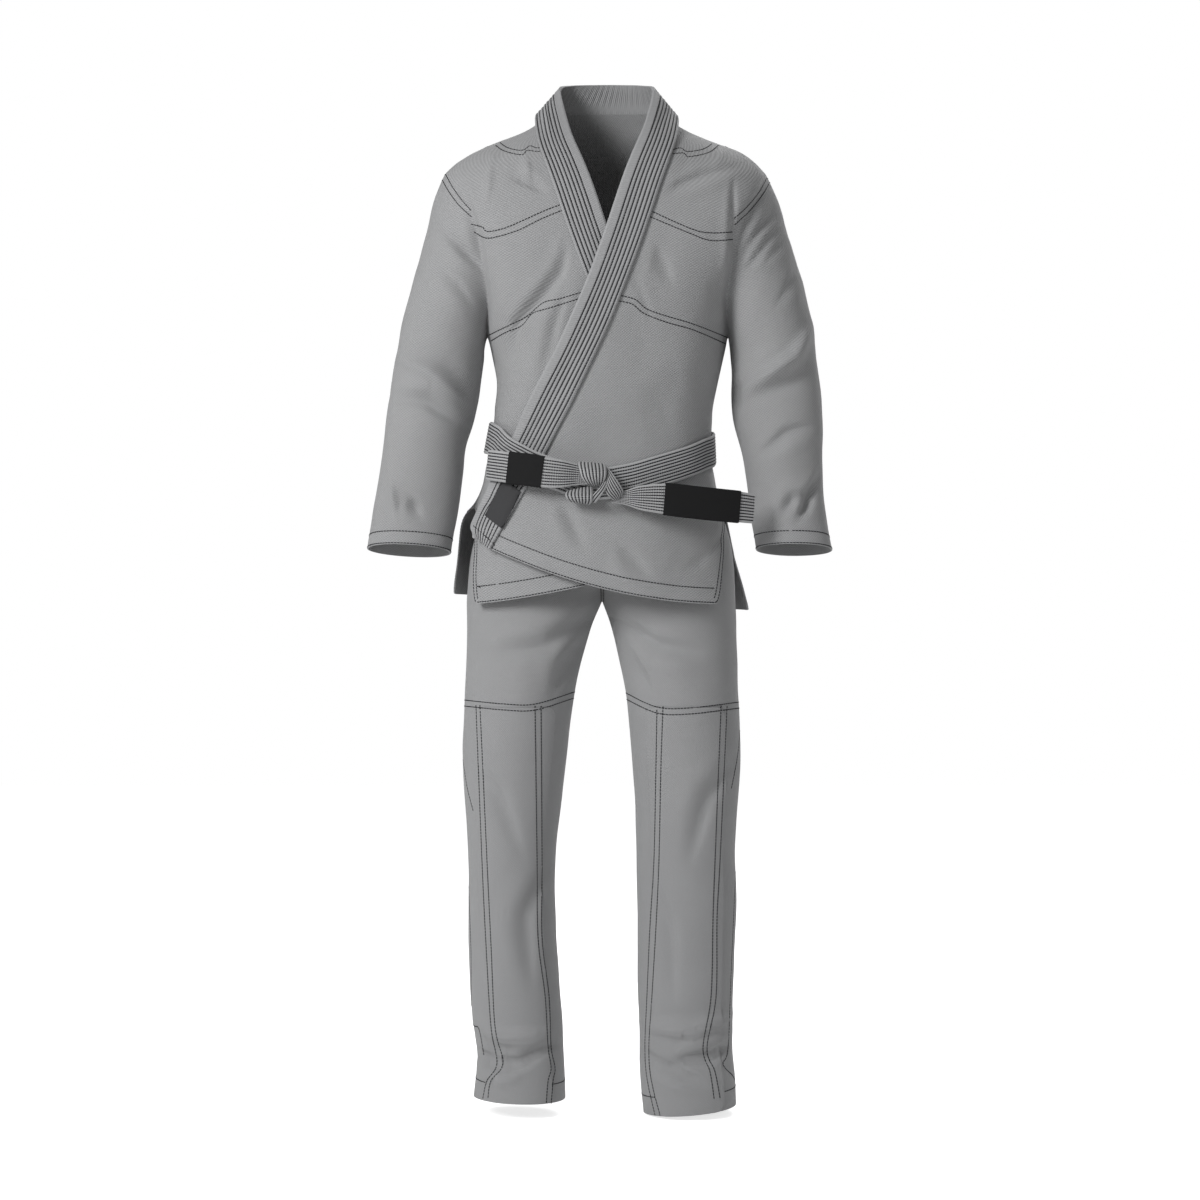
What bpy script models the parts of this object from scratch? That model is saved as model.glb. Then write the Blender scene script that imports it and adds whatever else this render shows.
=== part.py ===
# A jiu-jitsu gi, filled out as if worn but empty: jacket, trousers and knotted belt.
# Metres, +Z up, -Y the front, +X the wearer's left. The origin is between the
# shoulders at the base of the neck, where a wearer carries the jacket.
from collections import namedtuple

import bmesh
import bpy
import numpy as np
from mathutils import Vector
from mathutils.bvhtree import BVHTree

# Cloth and seams
WALL = 0.002            # one layer of jacket or trouser cloth
SEAM_GAP = 0.0003       # between two pieces sewn to each other
LAYER_STEP = 0.0112     # from the face of the under front to that of the over front
TORSO_ROUNDNESS = 2.4   # exponent of the body's oval, 2 being an ellipse
LIMB_ROUNDNESS = 2.15

# Lapel and collar: one folded band sewn along both fronts and round the neck
LAPEL_WIDTH = 0.053
LAPEL_THICK = 0.005
LAPEL_GAP = 0.0005
LAPEL_OVERLAP = 0.010   # how far a front reaches under the band
LAPEL_LINES = (0.0, LAPEL_OVERLAP, 0.024, 0.038, LAPEL_WIDTH)
NECK_SINK = 0.0024      # how far the back's neck edge lies inside the collar

# Belt
BELT_WIDTH = 0.044
BELT_THICK = 0.004
BELT_GAP = 0.0012
BAR_THICK = 0.001

# Grid of the panels
FRONT_COLUMNS = 12
EDGE_CROWDING = 1.5     # draws the columns of a front towards its side seam
VENT_ROW = 4
ARMPIT_ROW = 11
SHOULDER_ROW = 20
LEG_COLUMNS = 24
BELT_COLUMNS = 56
BELT_RAYS = 180

Profile = namedtuple("Profile", "z middle half side depth")

# The front of the body by height: middle of the oval, half its width, y of its
# edge, y of its deepest point. From the armpit up, the edge is the armhole as
# far as the shoulder tip, and then the ridge of the shoulder to the neck.
FRONT = (
    Profile(-0.680, -0.0075, 0.1985, -0.012, -0.129),
    Profile(-0.632, -0.0090, 0.1920, -0.010, -0.131),
    Profile(-0.582, -0.0095, 0.1830, -0.006, -0.130),
    Profile(-0.557, -0.0085, 0.1760, 0.000, -0.126),
    Profile(-0.537, -0.0107, 0.1740, 0.000, -0.124),
    Profile(-0.504, -0.0092, 0.1626, 0.000, -0.120),
    Profile(-0.471, -0.0092, 0.1598, 0.000, -0.117),
    Profile(-0.439, -0.0057, 0.1562, 0.000, -0.119),
    Profile(-0.405, -0.0036, 0.1541, 0.000, -0.122),
    Profile(-0.368, 0.0036, 0.1555, 0.000, -0.126),
    Profile(-0.334, 0.0036, 0.1640, 0.000, -0.129),
    Profile(-0.301, 0.0025, 0.1708, 0.000, -0.131),
    Profile(-0.280, 0.0022, 0.1688, -0.035, -0.1325),
    Profile(-0.257, 0.0020, 0.1665, -0.055, -0.134),
    Profile(-0.235, 0.0020, 0.1680, -0.070, -0.135),
    Profile(-0.201, 0.0018, 0.1745, -0.085, -0.135),
    Profile(-0.167, 0.0015, 0.1795, -0.092, -0.1325),
    Profile(-0.1445, 0.0010, 0.1850, -0.092, -0.129),
    Profile(-0.123, 0.0007, 0.2000, -0.078, -0.124),
    Profile(-0.097, 0.0004, 0.2170, -0.050, -0.116),
    Profile(-0.061, 0.0000, 0.2340, 0.005, -0.101),
    Profile(-0.044, 0.0000, 0.2187, 0.006, -0.089),
    Profile(-0.027, 0.0000, 0.1950, 0.008, -0.0745),
    Profile(-0.010, 0.0000, 0.1540, 0.010, -0.056),
    Profile(0.007, 0.0000, 0.1115, 0.012, -0.034),
    Profile(0.013, 0.0000, 0.1030, 0.0125, -0.025),
    Profile(0.022, 0.0000, 0.0950, 0.013, -0.012),
)
BACK = (
    Profile(-0.677, -0.0075, 0.2130, 0.035, 0.135),
    Profile(-0.632, -0.0110, 0.2015, 0.030, 0.140),
    Profile(-0.582, -0.0154, 0.1930, 0.022, 0.138),
    Profile(-0.557, -0.0158, 0.1880, 0.012, 0.133),
    Profile(-0.537, -0.0107, 0.1740, 0.000, 0.128),
    Profile(-0.504, -0.0092, 0.1626, 0.000, 0.120),
    Profile(-0.471, -0.0092, 0.1598, 0.000, 0.112),
    Profile(-0.439, -0.0057, 0.1562, 0.000, 0.110),
    Profile(-0.405, -0.0036, 0.1541, 0.000, 0.113),
    Profile(-0.368, 0.0036, 0.1555, 0.000, 0.118),
    Profile(-0.334, 0.0036, 0.1640, 0.000, 0.122),
    Profile(-0.301, 0.0025, 0.1708, 0.000, 0.125),
    Profile(-0.280, 0.0022, 0.1700, 0.035, 0.126),
    Profile(-0.257, 0.0020, 0.1700, 0.058, 0.127),
    Profile(-0.232, 0.0020, 0.1720, 0.075, 0.128),
    Profile(-0.200, 0.0018, 0.1770, 0.088, 0.128),
    Profile(-0.168, 0.0015, 0.1830, 0.094, 0.127),
    Profile(-0.140, 0.0010, 0.1920, 0.092, 0.125),
    Profile(-0.112, 0.0007, 0.2050, 0.078, 0.121),
    Profile(-0.084, 0.0004, 0.2200, 0.048, 0.116),
    Profile(-0.061, 0.0000, 0.2340, 0.005, 0.110),
    Profile(-0.044, 0.0000, 0.2187, 0.006, 0.105),
    Profile(-0.027, 0.0000, 0.1950, 0.008, 0.099),
    Profile(-0.010, 0.0000, 0.1540, 0.010, 0.092),
    Profile(0.007, 0.0000, 0.1115, 0.012, 0.084),
    Profile(0.013, 0.0000, 0.1030, 0.0125, 0.081),
    Profile(0.022, 0.0000, 0.0950, 0.013, 0.077),
)

# x of each front's free side edge in the rows below the top of the vents
VENT_EDGES = {1: (0.1575, 0.1631, 0.1665, 0.1655), -1: (-0.1865, -0.1860, -0.1850, -0.1835)}

# How far a front's hem climbs from its side to its lapel, and how late it does so
HemLift = namedtuple("HemLift", "rise power")
HEM_LIFTS = {1: HemLift(0.0740, 1.95), -1: HemLift(0.0550, 1.35)}
BACK_HEM_TILT = -0.0115

# The band along each front, by the height of its outer seam line: x of that
# line, x and z of its free edge, and how far that edge stands off the body's oval.
Band = namedtuple("Band", "z seam_x edge_x edge_z stand")
OVER_BAND = (
    Band(-0.606, -0.1540, -0.1790, -0.5790, 0.0),
    Band(-0.558, -0.1273, -0.1610, -0.5350, 0.0),
    Band(-0.512, -0.1006, -0.1400, -0.4880, 0.0),
    Band(-0.478, -0.0830, -0.1250, -0.4570, 0.0),
    Band(-0.453, -0.0724, -0.1160, -0.4335, 0.0),
    Band(-0.400, -0.0448, -0.0915, -0.3805, 0.0),
    Band(-0.340, -0.0165, -0.0640, -0.3215, 0.0),
    Band(-0.289, 0.0069, -0.0420, -0.2700, 0.0),
    Band(-0.254, 0.0205, -0.0284, -0.2400, 0.0),
    Band(-0.216, 0.0352, -0.0135, -0.1995, 0.0),
    Band(-0.174, 0.0511, 0.0010, -0.1585, 0.0),
    Band(-0.123, 0.0682, 0.0182, -0.1050, 0.0),
    Band(-0.093, 0.0779, 0.0285, -0.0760, 0.0),
    Band(-0.052, 0.0927, 0.0450, -0.0345, 0.0),
    Band(-0.020, 0.1007, 0.0595, 0.0040, -0.004),
    Band(0.0045, 0.1035, 0.0645, 0.0320, -0.002),
    Band(0.013, 0.1030, 0.0675, 0.0530, 0.022),
)
MIRROR_X = 0.001        # middle of the neck opening
UNDER_BAND = (
    Band(-0.625, 0.1000, 0.1450, -0.6050, 0.0),
    Band(-0.558, 0.0960, 0.1430, -0.5400, 0.0),
    Band(-0.512, 0.0840, 0.1330, -0.4930, 0.0),
    Band(-0.453, 0.0660, 0.1150, -0.4345, 0.0),
    Band(-0.400, 0.0460, 0.0950, -0.3805, 0.0),
    Band(-0.340, 0.0185, 0.0670, -0.3215, 0.0),
    Band(-0.289, -0.0045, 0.0440, -0.2700, 0.0),
    Band(-0.254, -0.0185, 0.0304, -0.2400, 0.0),
) + tuple(
    band._replace(seam_x=2 * MIRROR_X - band.seam_x, edge_x=2 * MIRROR_X - band.edge_x)
    for band in OVER_BAND[9:]
)
BANDS = {1: OVER_BAND, -1: UNDER_BAND}

# The collar behind the neck, from the wearer's left side to the middle
Collar = namedtuple("Collar", "seam_x seam_y seam_z edge_x edge_y edge_z")
COLLAR = (
    Collar(0.0935, 0.0420, 0.0160, 0.0620, 0.0420, 0.0610),
    Collar(0.0700, 0.0650, 0.0180, 0.0470, 0.0580, 0.0660),
    Collar(0.0370, 0.0780, 0.0190, 0.0250, 0.0670, 0.0685),
    Collar(0.0000, 0.0820, 0.0195, 0.0000, 0.0705, 0.0695),
)

# A sleeve's rings from the shoulder seam down: its outer and inner silhouette
# points, the y of its middle, half its depth, and how far its back drops.
Ring = namedtuple("Ring", "outer_x outer_z inner_x inner_z y depth pitch")
SLEEVES = {
    1: (
        Ring(0.2542, -0.1122, 0.1747, -0.3230, 0.000, 0.088, 0.00),
        Ring(0.2613, -0.1576, 0.1761, -0.3365, -0.001, 0.085, 0.00),
        Ring(0.2755, -0.2031, 0.1775, -0.3507, -0.003, 0.080, 0.01),
        Ring(0.2854, -0.2485, 0.1775, -0.3678, -0.005, 0.076, 0.02),
        Ring(0.2932, -0.2911, 0.1768, -0.3877, -0.007, 0.072, 0.03),
        Ring(0.3000, -0.3365, 0.1780, -0.4104, -0.010, 0.068, 0.05),
        Ring(0.3065, -0.3820, 0.1825, -0.4359, -0.013, 0.065, 0.07),
        Ring(0.3090, -0.4246, 0.1890, -0.4601, -0.016, 0.062, 0.09),
        Ring(0.3050, -0.4700, 0.1955, -0.4899, -0.020, 0.058, 0.11),
        Ring(0.3062, -0.5155, 0.1990, -0.5240, -0.024, 0.054, 0.13),
        Ring(0.3130, -0.5609, 0.2038, -0.5637, -0.027, 0.051, 0.15),
        Ring(0.3210, -0.6045, 0.2095, -0.6035, -0.030, 0.048, 0.165),
    ),
    -1: (
        Ring(-0.2528, -0.1122, -0.1704, -0.3195, 0.000, 0.088, 0.00),
        Ring(-0.2599, -0.1576, -0.1718, -0.3309, -0.001, 0.085, 0.00),
        Ring(-0.2712, -0.2031, -0.1740, -0.3450, -0.003, 0.080, 0.01),
        Ring(-0.2826, -0.2485, -0.1761, -0.3635, -0.005, 0.076, 0.02),
        Ring(-0.2940, -0.2911, -0.1785, -0.3862, -0.007, 0.072, 0.03),
        Ring(-0.3010, -0.3365, -0.1840, -0.4104, -0.010, 0.068, 0.05),
        Ring(-0.3085, -0.3820, -0.1905, -0.4359, -0.013, 0.065, 0.07),
        Ring(-0.3130, -0.4246, -0.1980, -0.4587, -0.016, 0.062, 0.09),
        Ring(-0.3178, -0.4700, -0.2000, -0.4927, -0.020, 0.058, 0.11),
        Ring(-0.3240, -0.5155, -0.2040, -0.5297, -0.024, 0.055, 0.13),
        Ring(-0.3310, -0.5581, -0.2110, -0.5694, -0.027, 0.052, 0.15),
        Ring(-0.3375, -0.6020, -0.2180, -0.6080, -0.030, 0.049, 0.165),
    ),
}
ARMHOLE_FADE = 4        # rings over which a sleeve turns from armhole to oval
ARMPIT_SPRING = 0.004   # how far out a sleeve has sprung from the side at its first ring

# The trunk of the trousers; join is how far its seam has closed towards the crotch
Trunk = namedtuple("Trunk", "z middle half front back join")
TRUNK = (
    Trunk(-0.468, -0.0080, 0.1490, 0.096, 0.1072, 0.00),
    Trunk(-0.508, -0.0070, 0.1520, 0.099, 0.1125, 0.00),
    Trunk(-0.537, -0.0050, 0.1620, 0.102, 0.1170, 0.03),
    Trunk(-0.570, -0.0050, 0.1765, 0.104, 0.1210, 0.08),
    Trunk(-0.610, -0.0055, 0.1870, 0.101, 0.1220, 0.20),
    Trunk(-0.640, -0.0060, 0.1900, 0.098, 0.1200, 0.42),
    Trunk(-0.664, -0.0065, 0.1910, 0.096, 0.1170, 0.72),
)
CROTCH_X = -0.0060

# The legs from the crotch down; drop is how much lower the inner side lies
Leg = namedtuple("Leg", "z inner outer front back y drop")
LEGS = {
    1: (
        Leg(-0.680, CROTCH_X, 0.1846, 0.094, 0.115, 0.000, 0.0),
        Leg(-0.703, 0.0055, 0.1860, 0.093, 0.112, 0.000, 0.0),
        Leg(-0.743, 0.0149, 0.1867, 0.092, 0.106, 0.000, 0.0),
        Leg(-0.785, 0.0235, 0.1885, 0.091, 0.099, -0.002, 0.0),
        Leg(-0.824, 0.0290, 0.1900, 0.087, 0.092, -0.004, 0.0),
        Leg(-0.862, 0.0328, 0.1910, 0.083, 0.088, -0.005, 0.0),
        Leg(-0.905, 0.0360, 0.1912, 0.079, 0.085, -0.004, 0.0),
        Leg(-0.964, 0.0412, 0.1874, 0.075, 0.082, -0.001, 0.0),
        Leg(-1.032, 0.0426, 0.1832, 0.071, 0.079, 0.003, 0.0),
        Leg(-1.100, 0.0440, 0.1860, 0.069, 0.077, 0.006, 0.0),
        Leg(-1.169, 0.0440, 0.1832, 0.068, 0.075, 0.006, 0.0),
        Leg(-1.237, 0.0440, 0.1818, 0.067, 0.073, 0.005, 0.0),
        Leg(-1.285, 0.0454, 0.1803, 0.066, 0.071, 0.003, 0.001),
        Leg(-1.318, 0.0465, 0.1795, 0.063, 0.068, 0.002, 0.003),
        Leg(-1.350, 0.0480, 0.1850, 0.066, 0.070, 0.001, 0.007),
        Leg(-1.389, 0.0530, 0.1860, 0.068, 0.071, 0.000, 0.011),
    ),
    -1: (
        Leg(-0.680, CROTCH_X, -0.1982, 0.094, 0.115, 0.000, 0.0),
        Leg(-0.703, -0.0173, -0.1970, 0.093, 0.112, 0.000, 0.0),
        Leg(-0.743, -0.0298, -0.1981, 0.092, 0.106, 0.000, 0.0),
        Leg(-0.785, -0.0400, -0.2000, 0.091, 0.099, -0.002, 0.0),
        Leg(-0.824, -0.0460, -0.2025, 0.087, 0.092, -0.004, 0.0),
        Leg(-0.862, -0.0495, -0.2045, 0.083, 0.088, -0.005, 0.0),
        Leg(-0.905, -0.0550, -0.2055, 0.079, 0.085, -0.004, 0.0),
        Leg(-0.964, -0.0639, -0.2002, 0.075, 0.082, -0.001, 0.0),
        Leg(-1.032, -0.0710, -0.1960, 0.071, 0.079, 0.003, 0.0),
        Leg(-1.100, -0.0724, -0.1974, 0.069, 0.077, 0.006, 0.0),
        Leg(-1.169, -0.0682, -0.1960, 0.068, 0.075, 0.006, 0.0),
        Leg(-1.237, -0.0639, -0.1931, 0.067, 0.073, 0.005, 0.0),
        Leg(-1.285, -0.0611, -0.1889, 0.066, 0.071, 0.003, 0.001),
        Leg(-1.320, -0.0596, -0.1825, 0.063, 0.068, 0.002, 0.002),
        Leg(-1.350, -0.0578, -0.1875, 0.066, 0.070, 0.001, 0.004),
        Leg(-1.377, -0.0575, -0.1890, 0.067, 0.071, 0.000, 0.004),
    ),
}
KNEE_ROW = len(TRUNK) + 4
KNEE_COLUMNS = (3, 9)   # columns of a leg between which its knee patch lies
KNEE_THICK = 0.0015

# Height of the belt's middle line, by degrees from the wearer's left to the front
BeltTurn = namedtuple("BeltTurn", "angle z")
BELT_LINE = (
    BeltTurn(-90, -0.455),
    BeltTurn(-45, -0.453),
    BeltTurn(-8, -0.456),
    BeltTurn(24, -0.470),
    BeltTurn(48, -0.490),
    BeltTurn(74, -0.5085),
    BeltTurn(90, -0.515),
    BeltTurn(104, -0.5155),
    BeltTurn(111, -0.510),
    BeltTurn(128, -0.493),
    BeltTurn(141, -0.473),
    BeltTurn(152, -0.457),
    BeltTurn(168, -0.446),
    BeltTurn(190, -0.444),
    BeltTurn(225, -0.449),
    BeltTurn(270, -0.455),
)

# The two free ends: middle line and half width at each station, from the knot out
TailStation = namedtuple("TailStation", "x y z half")
TAILS = {
    "left": (
        TailStation(0.0262, -0.1500, -0.5345, 0.0100),
        TailStation(0.0462, -0.1520, -0.5348, 0.0165),
        TailStation(0.0776, -0.1500, -0.5361, 0.0208),
        TailStation(0.1030, -0.1450, -0.5388, 0.0214),
        TailStation(0.1286, -0.1385, -0.5415, 0.0214),
        TailStation(0.1560, -0.1300, -0.5440, 0.0213),
        TailStation(0.1830, -0.1190, -0.5463, 0.0212),
        TailStation(0.2040, -0.1090, -0.5485, 0.0205),
    ),
    "right": (
        TailStation(-0.0410, -0.1440, -0.5030, 0.0150),
        TailStation(-0.0610, -0.1490, -0.5020, 0.0190),
        TailStation(-0.0837, -0.1490, -0.5000, 0.0208),
        TailStation(-0.1050, -0.1420, -0.4965, 0.0213),
        TailStation(-0.1260, -0.1310, -0.4938, 0.0213),
        TailStation(-0.1450, -0.1160, -0.4905, 0.0212),
        TailStation(-0.1640, -0.0940, -0.4870, 0.0210),
    ),
}
# Stretch of each free end, in metres from its tip, that its bar covers
Bar = namedtuple("Bar", "tip_gap length")
BARS = {"left": Bar(0.022, 0.112), "right": Bar(0.030, 0.054)}

# The knot's three turns of belt, each a thick loop along a short path
KnotStation = namedtuple("KnotStation", "x y z across deep")
KNOT = {
    "upper": (
        KnotStation(-0.0194, -0.1465, -0.4850, 0.0185, 0.0090),
        KnotStation(-0.0194, -0.1510, -0.4920, 0.0195, 0.0140),
        KnotStation(-0.0180, -0.1515, -0.5040, 0.0190, 0.0150),
        KnotStation(-0.0130, -0.1505, -0.5180, 0.0120, 0.0120),
    ),
    "lower": (
        KnotStation(-0.0290, -0.1485, -0.5170, 0.0150, 0.0120),
        KnotStation(-0.0350, -0.1505, -0.5250, 0.0180, 0.0145),
        KnotStation(-0.0400, -0.1500, -0.5340, 0.0180, 0.0140),
        KnotStation(-0.0430, -0.1475, -0.5425, 0.0165, 0.0085),
    ),
    "outer": (
        KnotStation(0.0030, -0.1475, -0.4985, 0.0050, 0.0090),
        KnotStation(0.0110, -0.1515, -0.5075, 0.0100, 0.0140),
        KnotStation(0.0105, -0.1535, -0.5210, 0.0130, 0.0155),
        KnotStation(0.0000, -0.1525, -0.5320, 0.0100, 0.0140),
        KnotStation(-0.0170, -0.1485, -0.5350, 0.0045, 0.0100),
    ),
}
KNOT_SIDES = 12

# The largest folds, each a soft ridge (positive) or trough between two points
# of the front or the back as seen straight on
Fold = namedtuple("Fold", "face x1 z1 x2 z2 width height")
FOLDS = (
    Fold("front", -0.046, -0.185, -0.100, -0.275, 0.016, -0.0070),
    Fold("front", -0.095, -0.265, -0.150, -0.365, 0.018, -0.0060),
    Fold("front", -0.120, -0.225, -0.160, -0.320, 0.020, 0.0050),
    Fold("front", -0.072, -0.345, -0.128, -0.430, 0.016, 0.0055),
    Fold("front", 0.052, -0.190, 0.085, -0.245, 0.014, -0.0050),
    Fold("front", 0.030, -0.280, 0.070, -0.350, 0.018, -0.0050),
    Fold("front", 0.060, -0.385, 0.095, -0.450, 0.014, -0.0050),
    Fold("front", 0.098, -0.395, 0.104, -0.445, 0.014, 0.0045),
    Fold("front", 0.163, -0.215, 0.160, -0.330, 0.016, -0.0060),
    Fold("front", -0.172, -0.130, -0.168, -0.240, 0.016, -0.0050),
    Fold("front", 0.161, -0.590, 0.096, -0.635, 0.018, -0.0060),
    Fold("front", 0.195, -0.390, 0.280, -0.300, 0.018, 0.0060),
    Fold("front", 0.190, -0.425, 0.270, -0.375, 0.016, -0.0060),
    Fold("front", 0.188, -0.240, 0.228, -0.150, 0.018, -0.0060),
    Fold("front", 0.222, -0.255, 0.262, -0.165, 0.016, 0.0050),
    Fold("front", 0.295, -0.500, 0.265, -0.555, 0.014, -0.0060),
    Fold("front", -0.186, -0.240, -0.218, -0.150, 0.018, -0.0050),
    Fold("front", -0.205, -0.400, -0.290, -0.330, 0.018, 0.0055),
    Fold("front", -0.290, -0.510, -0.260, -0.555, 0.016, -0.0050),
    Fold("front", -0.190, -1.300, -0.120, -1.322, 0.014, -0.0060),
    Fold("front", -0.150, -1.260, -0.062, -1.285, 0.014, 0.0050),
    Fold("front", 0.175, -1.295, 0.110, -1.318, 0.014, -0.0060),
    Fold("front", 0.130, -1.255, 0.046, -1.275, 0.014, 0.0050),
    Fold("front", -0.050, -0.700, -0.130, -0.790, 0.024, 0.0050),
    Fold("front", 0.030, -0.700, 0.115, -0.790, 0.024, 0.0050),
    Fold("back", -0.110, -0.130, -0.060, -0.260, 0.022, 0.0060),
    Fold("back", 0.115, -0.125, 0.065, -0.270, 0.022, 0.0060),
    Fold("back", -0.120, -0.330, -0.040, -0.410, 0.018, -0.0060),
    Fold("back", 0.125, -0.340, 0.030, -0.420, 0.018, -0.0055),
    Fold("back", -0.060, -0.520, -0.080, -0.660, 0.022, 0.0060),
    Fold("back", 0.070, -0.520, 0.095, -0.660, 0.024, 0.0060),
    Fold("back", 0.205, -0.360, 0.290, -0.400, 0.018, -0.0060),
    Fold("back", -0.205, -0.370, -0.290, -0.410, 0.018, -0.0060),
    Fold("back", 0.050, -0.840, 0.180, -0.860, 0.018, -0.0055),
    Fold("back", -0.070, -0.845, -0.195, -0.865, 0.018, -0.0055),
)

# The dark patch near the end of the over lapel, in rows and columns of the band
LAPEL_PATCH_ROWS = (1.4, 2, 3, 4, 4.3)
LAPEL_PATCH_COLUMNS = (0.7, 1, 2, 3)
PATCH_THICK = 0.0012
PATCH_GAP = 0.0009

# Colour and roughness of each finish
JACKET_CLOTH = ((0.33, 0.33, 0.34), 0.85)
TROUSER_CLOTH = ((0.30, 0.30, 0.31), 0.82)
BAND_CLOTH = ((0.40, 0.40, 0.41), 0.80)
BELT_CLOTH = ((0.36, 0.36, 0.37), 0.80)
DARK_CLOTH = ((0.02, 0.02, 0.022), 0.75)


def clear_scene():
    for obj in list(bpy.data.objects):
        bpy.data.objects.remove(obj, do_unlink=True)


def finish(name, look):
    colour, roughness = look
    material = bpy.data.materials.new(name)
    material.use_nodes = True
    shader = material.node_tree.nodes["Principled BSDF"]
    shader.inputs["Base Color"].default_value = (*colour, 1.0)
    shader.inputs["Roughness"].default_value = roughness
    shader.inputs["Metallic"].default_value = 0.0
    return material


def add_piece(mesh_builder, name, look, collection, shown=True):
    """Turns a bmesh into an object of the collection."""
    mesh = bpy.data.meshes.new(name)
    mesh_builder.to_mesh(mesh)
    mesh_builder.free()
    mesh.shade_smooth()
    mesh.materials.append(finish(name, look))
    obj = bpy.data.objects.new(name, mesh)
    collection.objects.link(obj)
    if not shown:
        obj.hide_render = True
        obj.display_type = "WIRE"
    return obj


def value(table, field, z):
    """A named column of a table at height z, between its rows."""
    order = np.argsort([row.z for row in table])
    heights = np.array([row.z for row in table])[order]
    values = np.array([getattr(row, field) for row in table])[order]
    return np.interp(z, heights, values)


def unit(vectors):
    lengths = np.linalg.norm(vectors, axis=-1, keepdims=True)
    return vectors / np.maximum(lengths, 1e-12)


def reach(profile, x, z):
    """Signed distance from the oval's middle, as a share of its half width."""
    return np.clip((x - value(profile, "middle", z)) / value(profile, "half", z), -1, 1)


def oval_y(profile, x, z):
    side = value(profile, "side", z)
    depth = value(profile, "depth", z)
    share = 1 - np.abs(reach(profile, x, z)) ** TORSO_ROUNDNESS
    return side + (depth - side) * share ** (1 / TORSO_ROUNDNESS)


def front_point(side, x, z):
    """A point of one front, stepped off the body's oval so that the two overlap."""
    step = 0.002
    slope_x = (oval_y(FRONT, x + step, z) - oval_y(FRONT, x - step, z)) / (2 * step)
    slope_z = (oval_y(FRONT, x, z + step) - oval_y(FRONT, x, z - step)) / (2 * step)
    outward = unit(np.stack([slope_x, -np.ones_like(x), slope_z], axis=-1))
    rise = side * LAYER_STEP / 2 * (1 - side * reach(FRONT, x, z))
    base = np.stack([x, oval_y(FRONT, x, z), z], axis=-1)
    return base + outward * rise[..., None]


def edge_point(profile, row, side):
    """The end of a row at the side seam or armhole, the same for both its pieces."""
    spot = profile[row]
    return np.array([spot.middle + side * spot.half, spot.side, spot.z])


def height_share(profile, row):
    """How far up the armhole a row starts, from the armpit to the shoulder tip."""
    low, high = profile[ARMPIT_ROW].z, profile[SHOULDER_ROW].z
    return max(0.0, (profile[row].z - low) / (high - low))


def vent_share(profile, row):
    """How far below the top of the vents a row lies, 1 at the hem."""
    top, hem = profile[VENT_ROW].z, profile[0].z
    return max(0.0, (top - profile[row].z) / (top - hem))


def band_section(side, seam_z):
    """Points across the lapel band where its seam line is at a height."""
    table = BANDS[side]
    across = np.array(LAPEL_LINES) / LAPEL_WIDTH
    seam_x = value(table, "seam_x", seam_z)
    x = seam_x + (value(table, "edge_x", seam_z) - seam_x) * across
    z = seam_z + (value(table, "edge_z", seam_z) - seam_z) * across
    points = front_point(side, x, z)
    points[:, 1] += value(table, "stand", seam_z) * across**2
    return points


def ridge_height(x):
    """Height of the shoulder's ridge at a distance from the middle."""
    ridge = FRONT[SHOULDER_ROW:][::-1]
    return np.interp(np.abs(x), [row.half for row in ridge], [row.z for row in ridge])


def make_front(side):
    """Grid of one front, hem to shoulder, side seam to lapel, and the band's sections."""
    share = (np.arange(FRONT_COLUMNS + 1) / FRONT_COLUMNS) ** EDGE_CROWDING
    top_seam = BANDS[side][-1]
    tip_x = side * FRONT[SHOULDER_ROW].half
    top_x = tip_x + (top_seam.seam_x - tip_x) * share
    top_z = ridge_height(top_x)
    top_z[-1] = top_seam.z
    armpit_z = FRONT[ARMPIT_ROW].z
    lift = HEM_LIFTS[side]
    grid, sections = [], []
    for row in range(SHOULDER_ROW + 1):
        start = edge_point(FRONT, row, side)
        start_x = VENT_EDGES[side][row] if row < VENT_ROW else start[0]
        if row <= ARMPIT_ROW:
            z = FRONT[row].z + lift.rise * share**lift.power * vent_share(FRONT, row)
        else:
            z = armpit_z + height_share(FRONT, row) * (top_z - armpit_z)
        section = band_section(side, z[-1])
        seam_x = value(BANDS[side], "seam_x", z[-1])
        x = start_x + (seam_x - start_x) * share
        points = front_point(side, x, z)
        if row >= VENT_ROW:
            points[0] = start
        points[-1] = section[0]
        grid.append(np.vstack([points, section[1]]))
        sections.append(section)
    return np.array(grid), np.array(sections)


def collar_sections():
    """The band's sections behind the neck, from the wearer's left to the right."""
    across = (np.array(LAPEL_LINES) / LAPEL_WIDTH)[:, None]
    half = []
    for spot in COLLAR:
        seam = np.array([spot.seam_x, spot.seam_y, spot.seam_z])
        edge = np.array([spot.edge_x, spot.edge_y, spot.edge_z])
        half.append(seam + (edge - seam) * across)
    other = [section * (-1, 1, 1) + (2 * MIRROR_X, 0, 0) for section in half[-2::-1]]
    return np.array(half + other)


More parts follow.
